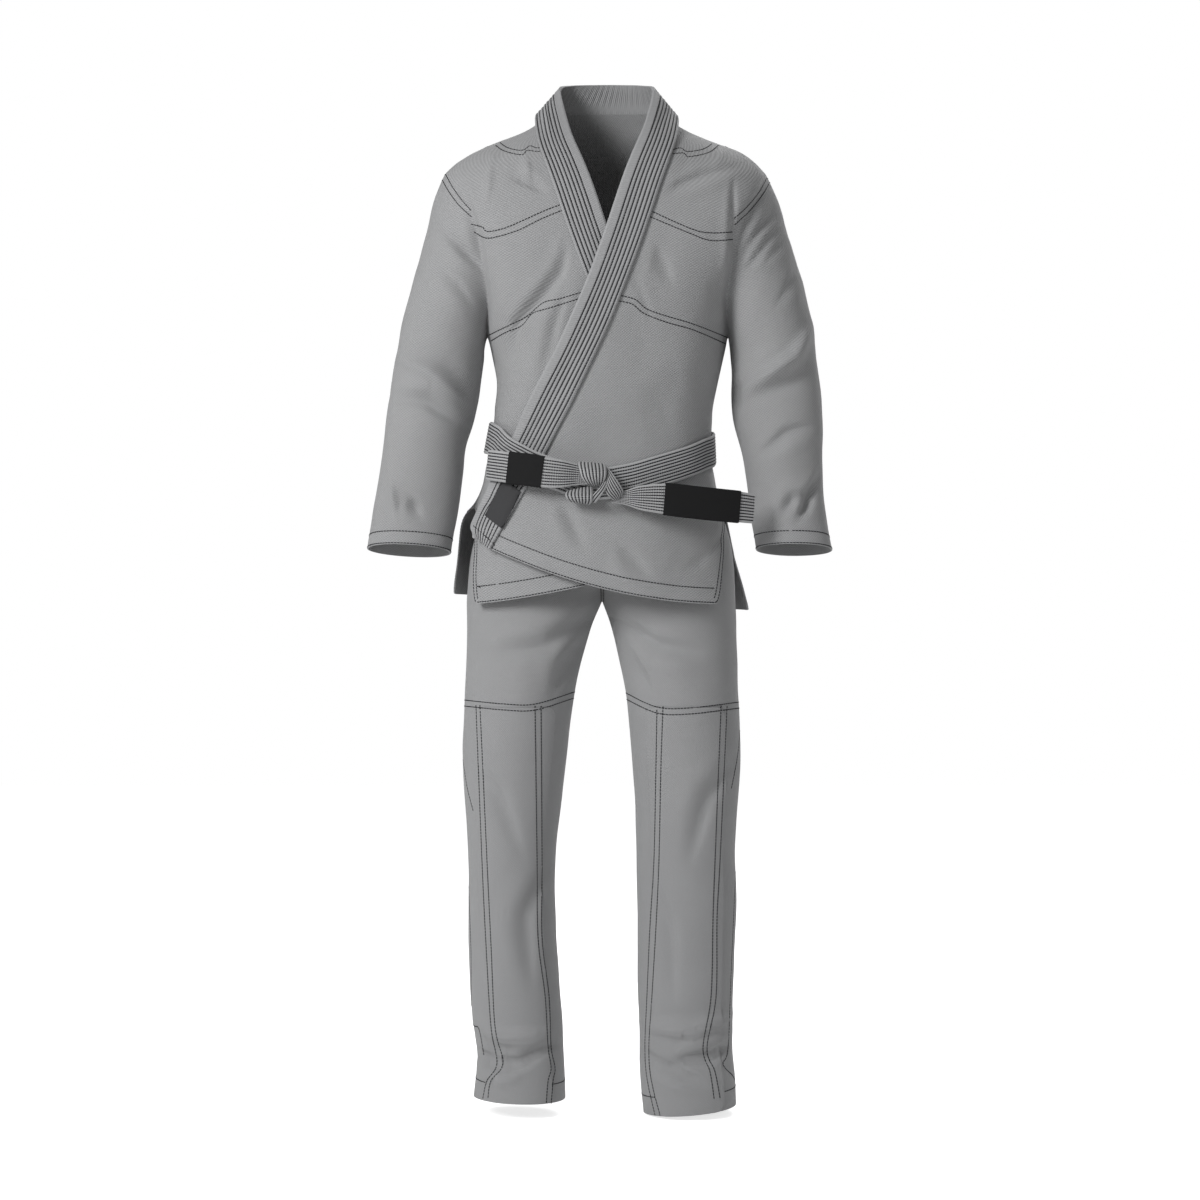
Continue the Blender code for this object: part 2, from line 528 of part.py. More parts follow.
def make_back(left_top, right_top, neck):
    """Grid of the back, hem to shoulders and neck, wearer's left to right."""
    top = np.vstack([left_top, neck, right_top[::-1]])
    count = len(top)
    turn = np.pi * np.arange(count) / (count - 1)
    cosine = np.cos(turn)
    even = np.sign(cosine) * np.abs(cosine) ** (2 / TORSO_ROUNDNESS)
    even[[0, -1]] = 1, -1
    top_share = top[:, 0] / FRONT[SHOULDER_ROW].half
    miss = top[:, 1] - oval_y(BACK, top[:, 0], top[:, 2])
    armpit_z = BACK[ARMPIT_ROW].z
    grid = []
    for row in range(SHOULDER_ROW + 1):
        spot = BACK[row]
        up = height_share(BACK, row)
        share = even + (top_share - even) * up
        x = spot.middle + spot.half * share
        z = armpit_z + up * (top[:, 2] - armpit_z) if up else np.full(count, spot.z)
        z = z + BACK_HEM_TILT * share * vent_share(BACK, row)
        points = np.stack([x, oval_y(BACK, x, z) + up**4 * miss, z], axis=-1)
        points[0] = edge_point(BACK, row, 1)
        points[-1] = edge_point(BACK, row, -1)
        points[[0, -1], 2] = z[[0, -1]]
        grid.append(points)
    grid[-1] = top
    return np.array(grid)


def make_sleeve(side):
    """Rings of a sleeve; ring 0 is the armhole, from the shoulder tip down its front."""
    front = [edge_point(FRONT, row, side) for row in range(SHOULDER_ROW, ARMPIT_ROW, -1)]
    back = [edge_point(BACK, row, side) for row in range(ARMPIT_ROW, SHOULDER_ROW + 1)]
    armhole = np.array(front + back)
    tip, pit = armhole[0], armhole[SHOULDER_ROW - ARMPIT_ROW]
    across = unit((pit - tip) * (1, 0, 1))
    beside = np.array([-across[2], 0, across[0]])
    width = np.dot(pit - tip, across)
    hole_across = (armhole - tip) @ across / width
    hole_beside = (armhole - tip) @ beside
    turn = np.pi * np.arange(len(armhole)) / (SHOULDER_ROW - ARMPIT_ROW)
    oval_across = (1 - np.cos(turn)) / 2
    sine = np.sin(turn)
    oval_deep = -np.sign(sine) * np.abs(sine) ** (2 / LIMB_ROUNDNESS)
    rings = [armhole]
    for number, ring in enumerate(SLEEVES[side], start=1):
        outer = np.array([ring.outer_x, 0, ring.outer_z])
        inner = np.array([ring.inner_x, 0, ring.inner_z])
        line = unit(inner - outer)
        off = np.array([-line[2], 0, line[0]])
        hole = max(0.0, 1 - number / ARMHOLE_FADE) ** 1.5
        along = hole * hole_across + (1 - hole) * oval_across
        deep = hole * armhole[:, 1] + (1 - hole) * (ring.y + ring.depth * oval_deep)
        points = outer + np.outer(along * np.linalg.norm(inner - outer), line)
        points += np.outer(hole * hole_beside, off)
        points[:, 1] = deep
        points[:, 2] -= (deep - ring.y) * ring.pitch
        if number == 1:
            points[:, 0] = side * np.maximum(side * points[:, 0], side * armhole[:, 0] + ARMPIT_SPRING)
        points[-1] = points[0]
        rings.append(points)
    return np.array(rings)


def make_leg(side):
    """Rings of a trouser leg, waist to hem. Above the crotch each row is open."""
    share = np.arange(LEG_COLUMNS + 1) / LEG_COLUMNS
    half_turn, full_turn = np.pi * share, 2 * np.pi * share
    power = 2 / LIMB_ROUNDNESS

    def oval(turn):
        sine, cosine = np.sin(turn), np.cos(turn)
        return np.abs(sine) ** power * np.sign(sine), np.abs(cosine) ** power * np.sign(cosine)

    def ring(spot):
        sine = oval(full_turn)[0]
        deep = spot.y - np.where(sine > 0, spot.front, spot.back) * sine
        inward = (1 + np.cos(full_turn)) / 2
        x = spot.outer + (spot.inner - spot.outer) * inward
        return np.stack([x, deep, spot.z - spot.drop * inward], axis=-1)

    rows = []
    crotch = LEGS[side][0]
    for spot in TRUNK:
        sine, cosine = oval(half_turn)
        x = CROTCH_X + (spot.middle + side * spot.half - CROTCH_X) * sine
        y = -np.where(cosine > 0, spot.front, spot.back) * cosine
        open_row = np.stack([x, y, np.full(len(x), spot.z)], axis=-1)
        outer = spot.middle + side * spot.half
        closed = ring(crotch._replace(outer=outer, z=spot.z, front=spot.front, back=spot.back))
        blend = spot.join
        rows.append(open_row * (1 - blend) + closed * blend)
    for spot in LEGS[side]:
        points = ring(spot)
        points[-1] = points[0]
        rows.append(points)
    rows = np.array(rows)
    rows[:len(TRUNK), [0, -1], 0] = CROTCH_X
    rows[:, :, 0] += side * SEAM_GAP / 2
    return rows


def grid_normals(grid, wrapped_from=None):
    """Normals of a grid's points, area-weighted from its cells, rows by columns."""
    diagonal_a = grid[1:, 1:] - grid[:-1, :-1]
    diagonal_b = grid[1:, :-1] - grid[:-1, 1:]
    cell = np.cross(diagonal_a, diagonal_b)
    normals = np.zeros_like(grid)
    normals[:-1, :-1] += cell
    normals[1:, :-1] += cell
    normals[:-1, 1:] += cell
    normals[1:, 1:] += cell
    if wrapped_from is not None:
        both = normals[wrapped_from:, 0] + normals[wrapped_from:, -1]
        normals[wrapped_from:, 0] = both
        normals[wrapped_from:, -1] = both
    return normals


def point_key(point):
    return tuple(np.round(point, 5))


def shared_normals(grids, outward_signs, wraps, pits):
    """Unit normals of sewn panels, the same on both sides of every seam.

    At an armpit the side and the sleeve face each other, so the edge faces down.
    """
    summed = {}
    own = {}
    for name, grid in grids.items():
        own[name] = unit(grid_normals(grid, wraps.get(name))) * outward_signs[name]
        seen = set()
        for point, normal in zip(grid.reshape(-1, 3), own[name].reshape(-1, 3)):
            key = point_key(point)
            if key not in seen:
                seen.add(key)
                summed[key] = summed.get(key, 0) + normal
    for name, row, column in pits:
        summed[point_key(grids[name][row, column])] = np.array([0.0, 0.0, -1.0])
    return {
        name: unit(np.array([summed[point_key(p)] for p in grid.reshape(-1, 3)])).reshape(grid.shape)
        for name, grid in grids.items()
    }


def fold_rise(points, normals):
    """How far each point is moved out by the folds on its side of the body."""
    x, z = points[..., 0], points[..., 2]
    rise = np.zeros(x.shape)
    for fold in FOLDS:
        facing = np.clip(normals[..., 1] * (-1 if fold.face == "front" else 1), 0, 1)
        run_x, run_z = fold.x2 - fold.x1, fold.z2 - fold.z1
        length = np.hypot(run_x, run_z)
        along = ((x - fold.x1) * run_x + (z - fold.z1) * run_z) / length**2
        off = np.abs((x - fold.x1) * run_z - (z - fold.z1) * run_x) / length
        beyond = np.maximum(np.abs(along - 0.5) - 0.5, 0) * length
        fade = np.cos(np.clip(along - 0.5, -0.5, 0.5) * np.pi) ** 0.5
        near = np.exp(-((off / fold.width) ** 2) - (beyond / fold.width) ** 2)
        rise += fold.height * near * fade * facing**0.5
    return rise


def between(grid, rows, columns):
    """Points of a grid at fractions of its rows and columns."""
    low_row = np.minimum(np.floor(rows).astype(int), len(grid) - 2)
    low_column = np.minimum(np.floor(columns).astype(int), grid.shape[1] - 2)
    up = (np.array(rows) - low_row)[:, None, None]
    over = (np.array(columns) - low_column)[:, None]
    lower = grid[low_row][:, low_column] * (1 - over) + grid[low_row][:, low_column + 1] * over
    upper = grid[low_row + 1][:, low_column] * (1 - over) + grid[low_row + 1][:, low_column + 1] * over
    return lower * (1 - up) + upper * up


def trim(grid, rows=(), columns=(), spring=(0, 0, 0)):
    """Draws the named edges of a grid in by half a seam gap, turned towards spring."""
    moved = grid.copy()
    last_row, last_column = len(grid) - 1, grid.shape[1] - 1
    for row in rows:
        inner = 1 if row == 0 else last_row - 1
        moved[row] += unit(grid[inner] - grid[row] + spring) * SEAM_GAP / 2
    for column in columns:
        inner = 1 if column == 0 else last_column - 1
        moved[:, column] += unit(grid[:, inner] - grid[:, column]) * SEAM_GAP / 2
    return moved


def wall(grid, normals, low, high, flip, wrapped_from=None):
    """Closed solid between two faces of a grid, low and high off it along its normals."""
    rows, columns = grid.shape[:2]
    low, high = (np.broadcast_to(rise, (rows, columns))[..., None] for rise in (low, high))
    faces = {"inner": grid + normals * low, "outer": grid + normals * high}
    builder = bmesh.new()
    corner = {}
    for face, points in faces.items():
        for row in range(rows):
            closed = wrapped_from is not None and row >= wrapped_from
            for column in range(columns):
                if closed and column == columns - 1:
                    corner[face, row, column] = corner[face, row, 0]
                else:
                    corner[face, row, column] = builder.verts.new(points[row, column])

    def add(*keys):
        builder.faces.new([corner[key] for key in (keys[::-1] if flip else keys)])

    for row in range(rows - 1):
        for column in range(columns - 1):
            a, b = (row, column), (row, column + 1)
            c, d = (row + 1, column + 1), (row + 1, column)
            if np.linalg.norm(grid[a] - grid[c]) > np.linalg.norm(grid[b] - grid[d]):
                a, b, c, d = b, c, d, a
            add(("outer", *a), ("outer", *b), ("outer", *c))
            add(("outer", *a), ("outer", *c), ("outer", *d))
            add(("inner", *c), ("inner", *b), ("inner", *a))
            add(("inner", *d), ("inner", *c), ("inner", *a))
    for column in range(columns - 1):
        for row, step in ((0, 1), (rows - 1, -1)):
            a, b = (row, column), (row, column + 1)
            a, b = (a, b)[::step]
            add(("inner", *a), ("inner", *b), ("outer", *b), ("outer", *a))
    for row in range(rows - 1):
        if wrapped_from is not None and row >= wrapped_from:
            continue
        for column, step in ((0, -1), (columns - 1, 1)):
            a, b = (row, column), (row + 1, column)
            a, b = (a, b)[::step]
            add(("inner", *a), ("inner", *b), ("outer", *b), ("outer", *a))
    return builder


def thick_path(stations):
    """Closed loop of belt with round sides, swept along a short path."""
    centres = np.array([(s.x, s.y, s.z) for s in stations])
    ahead = np.gradient(centres, axis=0) * (1, 0, 1)
    ahead = unit(ahead)
    across = np.stack([-ahead[:, 2], np.zeros(len(ahead)), ahead[:, 0]], axis=-1)
    turn = 2 * np.pi * np.arange(KNOT_SIDES) / KNOT_SIDES
    power = 2 / 3
    wide = np.sign(np.cos(turn)) * np.abs(np.cos(turn)) ** power
    deep = np.sign(np.sin(turn)) * np.abs(np.sin(turn)) ** power
    builder = bmesh.new()
    rings = []
    for centre, side, station in zip(centres, across, stations):
        rings.append([
            builder.verts.new(centre + side * station.across * w + np.array([0, station.deep * d, 0]))
            for w, d in zip(wide, deep)
        ])
    for first, second in zip(rings, rings[1:]):
        for number in range(KNOT_SIDES):
            after = (number + 1) % KNOT_SIDES
            builder.faces.new([first[number], first[after], second[after], second[number]])
    builder.faces.new(rings[0][::-1])
    builder.faces.new(rings[-1])
    bmesh.ops.recalc_face_normals(builder, faces=builder.faces)
    return builder


def tail_grid(stations, count):
    """Middle surface of a free end, evenly stationed, its lower edge first."""
    centres = np.array([(s.x, s.y, s.z) for s in stations])
    halves = np.array([s.half for s in stations])
    run = np.concatenate([[0], np.cumsum(np.linalg.norm(np.diff(centres, axis=0), axis=1))])
    at = np.linspace(0, run[-1], count)
    centres = np.stack([np.interp(at, run, centres[:, axis]) for axis in range(3)], axis=-1)
    halves = np.interp(at, run, halves)[:, None]
    ahead = unit(np.gradient(centres, axis=0))
    outward = unit(np.cross(ahead, (0, 0, 1)))
    up = np.cross(outward, ahead)
    return np.stack([centres - up * halves, centres, centres + up * halves], axis=1), run[-1]


def around(count):
    """Angles round the body from the middle of the back, and which way each faces."""
    angle = np.linspace(-90, 270, count + 1)
    facing = np.stack([np.cos(np.radians(angle)), -np.sin(np.radians(angle))], axis=-1)
    return angle, facing


def taut_ring(surface, step):
    """Points of a cord pulled tight round the jacket, with no corner of it cut by a chord."""
    rays, ray_facing = around(BELT_RAYS)
    touched = []
    for level in (step - 0.25, step, step + 0.25):
        for angle, facing in zip(rays, ray_facing):
            z = belt_height(angle) + level * BELT_WIDTH
            start = Vector((facing[0], facing[1], z))
            place = surface.ray_cast(start, Vector((-facing[0], -facing[1], 0)))[0]
            if place:
                touched.append(place[:2])
    support = (np.array(touched) @ ray_facing.T).max(axis=0)
    toward = np.maximum(ray_facing @ ray_facing.T, 0.2)
    hull = (support / toward).min(axis=1)
    angle, facing = around(BELT_COLUMNS)
    distance = np.interp(angle, rays, hull)
    beside = np.abs(angle[:, None] - rays) < 360 / BELT_COLUMNS
    for _ in range(3):
        lack = np.maximum(hull - np.interp(rays, angle, distance), 0)
        distance += 0.7 * (beside * lack).max(axis=1)
    z = belt_height(angle) + step * BELT_WIDTH
    return np.column_stack([facing * distance[:, None], z])


def belt_height(angle):
    return np.interp(angle, [turn.angle for turn in BELT_LINE], [turn.z for turn in BELT_LINE])


def belt_grid(wrapped):
    """The belt's inner face round the waist, lower edge to upper edge."""
    under = bmesh.new()
    for obj in wrapped:
        under.from_mesh(obj.data)
    surface = BVHTree.FromBMesh(under)
    under.free()
    grid = np.array([taut_ring(surface, step) for step in (-0.5, 0, 0.5)])
    grid[:, -1] = grid[:, 0]
    return grid


def add_jacket(collection):
    left, left_sections = make_front(1)
    right, right_sections = make_front(-1)
    neck_sections = collar_sections()
    for side, top in ((1, left[-1]), (-1, right[-1])):
        top[-1] -= np.array([0.7 * side, 0, 0.7]) * NECK_SINK
    neck = neck_sections[:, 1] + unit(neck_sections[:, 1] * (-1, -1, 0)) * NECK_SINK
    grids = {
        "jacket_front_left": left,
        "jacket_front_right": right,
        "jacket_back": make_back(left[-1], right[-1], neck),
        "sleeve_left": make_sleeve(1),
        "sleeve_right": make_sleeve(-1),
    }
    signs = {
        "jacket_front_left": -1,
        "jacket_front_right": 1,
        "jacket_back": 1,
        "sleeve_left": 1,
        "sleeve_right": -1,
    }
    wraps = {"sleeve_left": 0, "sleeve_right": 0}
    pits = [(name, 0, SHOULDER_ROW - ARMPIT_ROW) for name in wraps]
    normals = shared_normals(grids, signs, wraps, pits)
    grids = {
        name: grid + normals[name] * fold_rise(grid, normals[name])[..., None]
        for name, grid in grids.items()
    }
    normals = shared_normals(grids, signs, wraps, pits)
    edges = {
        "jacket_front_left": {"rows": (-1,), "columns": (0,)},
        "jacket_front_right": {"rows": (-1,), "columns": (0,)},
        "jacket_back": {"rows": (-1,), "columns": (0, -1)},
        "sleeve_left": {"rows": (0,), "spring": (0.03, 0, 0)},
        "sleeve_right": {"rows": (0,), "spring": (-0.03, 0, 0)},
    }
    for name, grid in grids.items():
        sheet = trim(grid, **edges[name])
        builder = wall(sheet, normals[name], -WALL, 0, signs[name] < 0, wraps.get(name))
        add_piece(builder, name, JACKET_CLOTH, collection)

    band = np.vstack([left_sections, neck_sections, right_sections[::-1]])
    band_out = unit(grid_normals(band)) * -1
    band = band + band_out * fold_rise(band, band_out)[..., None]
    band_out = unit(grid_normals(band)) * -1
    face = LAPEL_GAP + LAPEL_THICK
    builder = wall(band, band_out, LAPEL_GAP, face, True)
    add_piece(builder, "lapel_collar", BAND_CLOTH, collection)
    patch = between(band, LAPEL_PATCH_ROWS, LAPEL_PATCH_COLUMNS)
    patch_out = unit(between(band_out, LAPEL_PATCH_ROWS, LAPEL_PATCH_COLUMNS))
    builder = wall(patch, patch_out, face + PATCH_GAP, face + PATCH_GAP + PATCH_THICK, True)
    add_piece(builder, "lapel_patch", DARK_CLOTH, collection)


def add_trousers(collection):
    legs = {1: make_leg(1), -1: make_leg(-1)}
    names = {1: "left", -1: "right"}
    closed_from = len(TRUNK)
    for side, grid in legs.items():
        sign = -side
        normals = unit(grid_normals(grid, closed_from)) * sign
        normals[:closed_from, [0, -1], 0] = 0
        normals = unit(normals)
        grid = grid + normals * fold_rise(grid, normals)[..., None]
        normals = unit(grid_normals(grid, closed_from)) * sign
        normals[:closed_from, [0, -1], 0] = 0
        normals = unit(normals)
        legs[side] = (grid, normals)
        builder = wall(grid, normals, -WALL, 0, sign < 0, closed_from)
        add_piece(builder, f"trouser_leg_{names[side]}", TROUSER_CLOTH, collection)
        rows, columns = slice(KNEE_ROW, None), slice(KNEE_COLUMNS[0], KNEE_COLUMNS[1] + 1)
        patch, outward = grid[rows, columns], normals[rows, columns]
        low = SEAM_GAP
        builder = wall(patch, outward, low, low + KNEE_THICK, sign < 0)
        add_piece(builder, f"knee_patch_{names[side]}", TROUSER_CLOTH, collection)

    left, left_out = legs[1]
    right, right_out = legs[-1]
    ring = np.concatenate([left[:2], right[:2, -2::-1]], axis=1)
    outward = np.concatenate([left_out[:2], right_out[:2, -2::-1]], axis=1)
    ring[:, -1], outward[:, -1] = ring[:, 0], outward[:, 0]
    builder = wall(ring, outward, SEAM_GAP, SEAM_GAP + WALL, True, 0)
    add_piece(builder, "waistband", TROUSER_CLOTH, collection)


def join_bodies(base, others):
    for other in others:
        union = base.modifiers.new(f"join {other.name}", "BOOLEAN")
        union.operation = "UNION"
        union.object = other


def add_belt(collection, helpers, wrapped):
    grid = belt_grid(wrapped)
    outward = unit(grid_normals(grid, 0)) * -1
    builder = wall(grid, outward, BELT_GAP, BELT_GAP + BELT_THICK, True, 0)
    add_piece(builder, "belt_wrap", BELT_CLOTH, collection)

    loops = [
        add_piece(thick_path(stations), f"knot_{name}", BELT_CLOTH, helpers, shown=False)
        for name, stations in KNOT.items()
    ]
    stations_in_tail = 17
    stub_cells = 2
    for name, stations in TAILS.items():
        tail, length = tail_grid(stations, stations_in_tail)
        outward = unit(grid_normals(tail))
        if outward[..., 1].mean() > 0:
            outward = -outward
        flip = name == "left"
        half = BELT_THICK / 2
        stub, free = tail[: stub_cells + 1].copy(), tail[stub_cells:].copy()
        into = unit(stub[0] - stub[1])
        stub[0] += into * BELT_WIDTH / 3
        free[0] += unit(free[1] - free[0]) * SEAM_GAP
        builder = wall(stub, outward[: stub_cells + 1], -half, half, flip)
        loops.append(add_piece(builder, f"stub_{name}", BELT_CLOTH, helpers, shown=False))
        builder = wall(free, outward[stub_cells:], -half, half, flip)
        add_piece(builder, f"belt_tail_{name}", BELT_CLOTH, collection)

        step = length / (stations_in_tail - 1)
        bar = BARS[name]
        last = stations_in_tail - 1 - round(bar.tip_gap / step)
        first = last - round(bar.length / step)
        middle, out = tail[first : last + 1], outward[first : last + 1]
        top = unit(middle[:, 2] - middle[:, 0]) * (SEAM_GAP + BAR_THICK)
        face, edge = half + SEAM_GAP + BAR_THICK, (middle[:, 2], middle[:, 0])
        corners = [
            edge[0] + top + out[:, 2] * face,
            edge[1] - top + out[:, 0] * face,
            edge[1] - top - out[:, 0] * face,
            edge[0] + top - out[:, 2] * face,
        ]
        around = np.stack(corners + corners[:1], axis=1)
        inward = np.stack([
            -unit(top) - out[:, 2],
            unit(top) - out[:, 0],
            unit(top) + out[:, 0],
            -unit(top) + out[:, 2],
            -unit(top) - out[:, 2],
        ], axis=1)
        builder = wall(around, -inward, -BAR_THICK, 0, name == "right", 0)
        add_piece(builder, f"belt_bar_{name}", DARK_CLOTH, collection)

    knot = add_piece(thick_path(KNOT["upper"]), "belt_knot", BELT_CLOTH, collection)
    join_bodies(knot, [loop for loop in loops if loop.name != "knot_upper"])


def main():
    clear_scene()
    garment = bpy.data.collections.new("jiu_jitsu_gi")
    helpers = bpy.data.collections.new("helpers")
    bpy.context.scene.collection.children.link(garment)
    bpy.context.scene.collection.children.link(helpers)
    add_jacket(garment)
    add_trousers(garment)
    jacket = ("jacket_front_left", "jacket_front_right", "jacket_back", "lapel_collar")
    add_belt(garment, helpers, [garment.objects[name] for name in jacket])


main()
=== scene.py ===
import math

import bmesh
import bpy
import numpy as np
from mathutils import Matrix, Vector, noise
from mathutils.bvhtree import BVHTree


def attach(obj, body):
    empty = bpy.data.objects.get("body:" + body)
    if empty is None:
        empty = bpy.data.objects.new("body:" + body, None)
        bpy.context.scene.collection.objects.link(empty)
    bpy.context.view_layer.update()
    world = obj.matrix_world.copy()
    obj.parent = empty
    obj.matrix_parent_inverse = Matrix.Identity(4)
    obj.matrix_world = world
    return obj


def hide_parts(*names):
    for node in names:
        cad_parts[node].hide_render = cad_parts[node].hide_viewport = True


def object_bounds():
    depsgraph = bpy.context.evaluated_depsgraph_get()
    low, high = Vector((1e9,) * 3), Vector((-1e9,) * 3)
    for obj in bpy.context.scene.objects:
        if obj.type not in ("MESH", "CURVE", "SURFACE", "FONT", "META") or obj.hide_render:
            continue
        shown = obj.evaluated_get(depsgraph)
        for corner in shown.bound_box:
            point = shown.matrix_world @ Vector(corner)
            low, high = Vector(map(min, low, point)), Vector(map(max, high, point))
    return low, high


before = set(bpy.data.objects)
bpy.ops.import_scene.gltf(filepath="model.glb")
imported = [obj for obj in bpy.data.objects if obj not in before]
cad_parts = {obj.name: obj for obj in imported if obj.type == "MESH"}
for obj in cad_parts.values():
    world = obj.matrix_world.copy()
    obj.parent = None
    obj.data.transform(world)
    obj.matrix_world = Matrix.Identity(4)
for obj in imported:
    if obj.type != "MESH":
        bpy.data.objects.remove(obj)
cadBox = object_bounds()
scene = bpy.context.scene

# camera of the photograph, four metres in front and level
pixelSize = 0.00142
eye = Vector((-0.00852, -4.0, -0.6745))
cameraData = bpy.data.cameras.new("photoCamera")
cameraData.sensor_width = 36
cameraData.lens = 36 * 4.0 / (1200 * pixelSize)
camera = bpy.data.objects.new("photoCamera", cameraData)
camera.location = eye
camera.rotation_euler = (math.radians(90), 0, 0)
scene.collection.objects.link(camera)
scene.camera = camera


def pixelRay(px, py):
    return Vector(((px - 600) * pixelSize / 4, 1, (600 - py) * pixelSize / 4)).normalized()


# materials
def newMaterial(name, colour, roughness, sheen):
    material = bpy.data.materials.new(name)
    material.use_nodes = True
    shader = material.node_tree.nodes["Principled BSDF"]
    shader.inputs["Base Color"].default_value = (*colour, 1)
    shader.inputs["Roughness"].default_value = roughness
    shader.inputs["Sheen Weight"].default_value = sheen
    shader.inputs["Sheen Roughness"].default_value = 0.45
    shader.inputs["Specular IOR Level"].default_value = 0.25
    return material, material.node_tree, shader


def addNode(tree, kind, **settings):
    node = tree.nodes.new(kind)
    for key, setting in settings.items():
        setattr(node, key, setting)
    return node


def mathNode(tree, operation, first, second):
    node = addNode(tree, "ShaderNodeMath", operation=operation)
    for socket, item in zip(node.inputs, (first, second)):
        if isinstance(item, (int, float)):
            socket.default_value = item
        else:
            tree.links.new(item, socket)
    return node.outputs[0]


def weaveGroup():
    group = bpy.data.node_groups.new("cloth weave", "ShaderNodeTree")
    for label in ("Across", "Along", "Scatter"):
        group.interface.new_socket(label, in_out="INPUT", socket_type="NodeSocketFloat")
    group.interface.new_socket("Height", in_out="OUTPUT", socket_type="NodeSocketFloat")
    group.interface.new_socket("Shade", in_out="OUTPUT", socket_type="NodeSocketFloat")
    inputs = addNode(group, "NodeGroupInput")
    outputs = addNode(group, "NodeGroupOutput")
    uv = addNode(group, "ShaderNodeUVMap")
    parts = addNode(group, "ShaderNodeSeparateXYZ")
    group.links.new(uv.outputs[0], parts.inputs[0])
    grain = addNode(group, "ShaderNodeTexNoise")
    grain.inputs["Scale"].default_value = 900
    group.links.new(uv.outputs[0], grain.inputs["Vector"])
    jitter = mathNode(group, "MULTIPLY", grain.outputs["Fac"], inputs.outputs["Scatter"])
    waves = []
    for axis, pitch in ((0, "Across"), (1, "Along")):
        turns = mathNode(group, "DIVIDE", parts.outputs[axis], inputs.outputs[pitch])
        turns = mathNode(group, "ADD", turns, jitter)
        turn = mathNode(group, "MULTIPLY", turns, math.tau)
        waves.append(mathNode(group, "SINE", turn, 0.0))
    product = mathNode(group, "MULTIPLY", waves[0], waves[1])
    height = mathNode(group, "MULTIPLY_ADD", product, 0.5)
    group.nodes[-1].inputs[2].default_value = 0.5
    group.links.new(height, outputs.inputs["Height"])
    # the colour: a random cloudy tone, plus painted shade and highlight that follow the weave's height,
    # darker in its hollows and lighter on its beads
    cloud = addNode(group, "ShaderNodeTexNoise")
    cloud.inputs["Scale"].default_value = 9
    cloud.inputs["Detail"].default_value = 5
    coordinates = addNode(group, "ShaderNodeTexCoord")
    group.links.new(coordinates.outputs["Object"], cloud.inputs["Vector"])
    shade = mathNode(group, "MULTIPLY", cloud.outputs["Fac"], 0.16)
    shade = mathNode(group, "ADD", shade, mathNode(group, "MULTIPLY", height, 0.62))
    group.links.new(shade, outputs.inputs["Shade"])
    return group


# dark stitches sunk between the ribs of a band, with painted groove shade around and between them, read from
# its own UV: along it, then across it
def stitchAndGrooveShadeGroup():
    group = bpy.data.node_groups.new("stitches and painted groove shade", "ShaderNodeTree")
    for label in ("First", "Step", "Last", "Half width", "Stitch"):
        group.interface.new_socket(label, in_out="INPUT", socket_type="NodeSocketFloat")
    group.interface.new_socket("Mask", in_out="OUTPUT", socket_type="NodeSocketFloat")
    inputs = addNode(group, "NodeGroupInput").outputs
    outputs = addNode(group, "NodeGroupOutput")
    uv = addNode(group, "ShaderNodeUVMap")
    parts = addNode(group, "ShaderNodeSeparateXYZ")
    group.links.new(uv.outputs[0], parts.inputs[0])
    place = mathNode(group, "SUBTRACT", parts.outputs[1], inputs["First"])
    place = mathNode(group, "DIVIDE", place, inputs["Step"])
    row = mathNode(group, "ROUND", place, 0.0)
    row = mathNode(group, "MINIMUM", mathNode(group, "MAXIMUM", row, 0.0), inputs["Last"])
    gap = mathNode(group, "ABSOLUTE", mathNode(group, "SUBTRACT", place, row), 0.0)
    gap = mathNode(group, "MULTIPLY", gap, inputs["Step"])
    gap = mathNode(group, "DIVIDE", gap, inputs["Half width"])
    line = mathNode(group, "MULTIPLY", mathNode(group, "SUBTRACT", 1.0, gap), 2.0)
    line = mathNode(group, "MINIMUM", mathNode(group, "MAXIMUM", line, 0.0), 1.0)
    turns = mathNode(group, "DIVIDE", parts.outputs[0], inputs["Stitch"])
    wave = mathNode(group, "SINE", mathNode(group, "MULTIPLY", turns, math.tau), 0.0)
    # full dark on a stitch, half dark in the gap between stitches: painted shade in the groove
    dash = mathNode(group, "GREATER_THAN", wave, -0.7)
    dash = mathNode(group, "ADD", mathNode(group, "MULTIPLY", dash, 0.5), 0.5)
    group.links.new(mathNode(group, "MULTIPLY", line, dash), outputs.inputs["Mask"])
    return group


weave = weaveGroup()
stitchesAndGrooveShade = stitchAndGrooveShadeGroup()
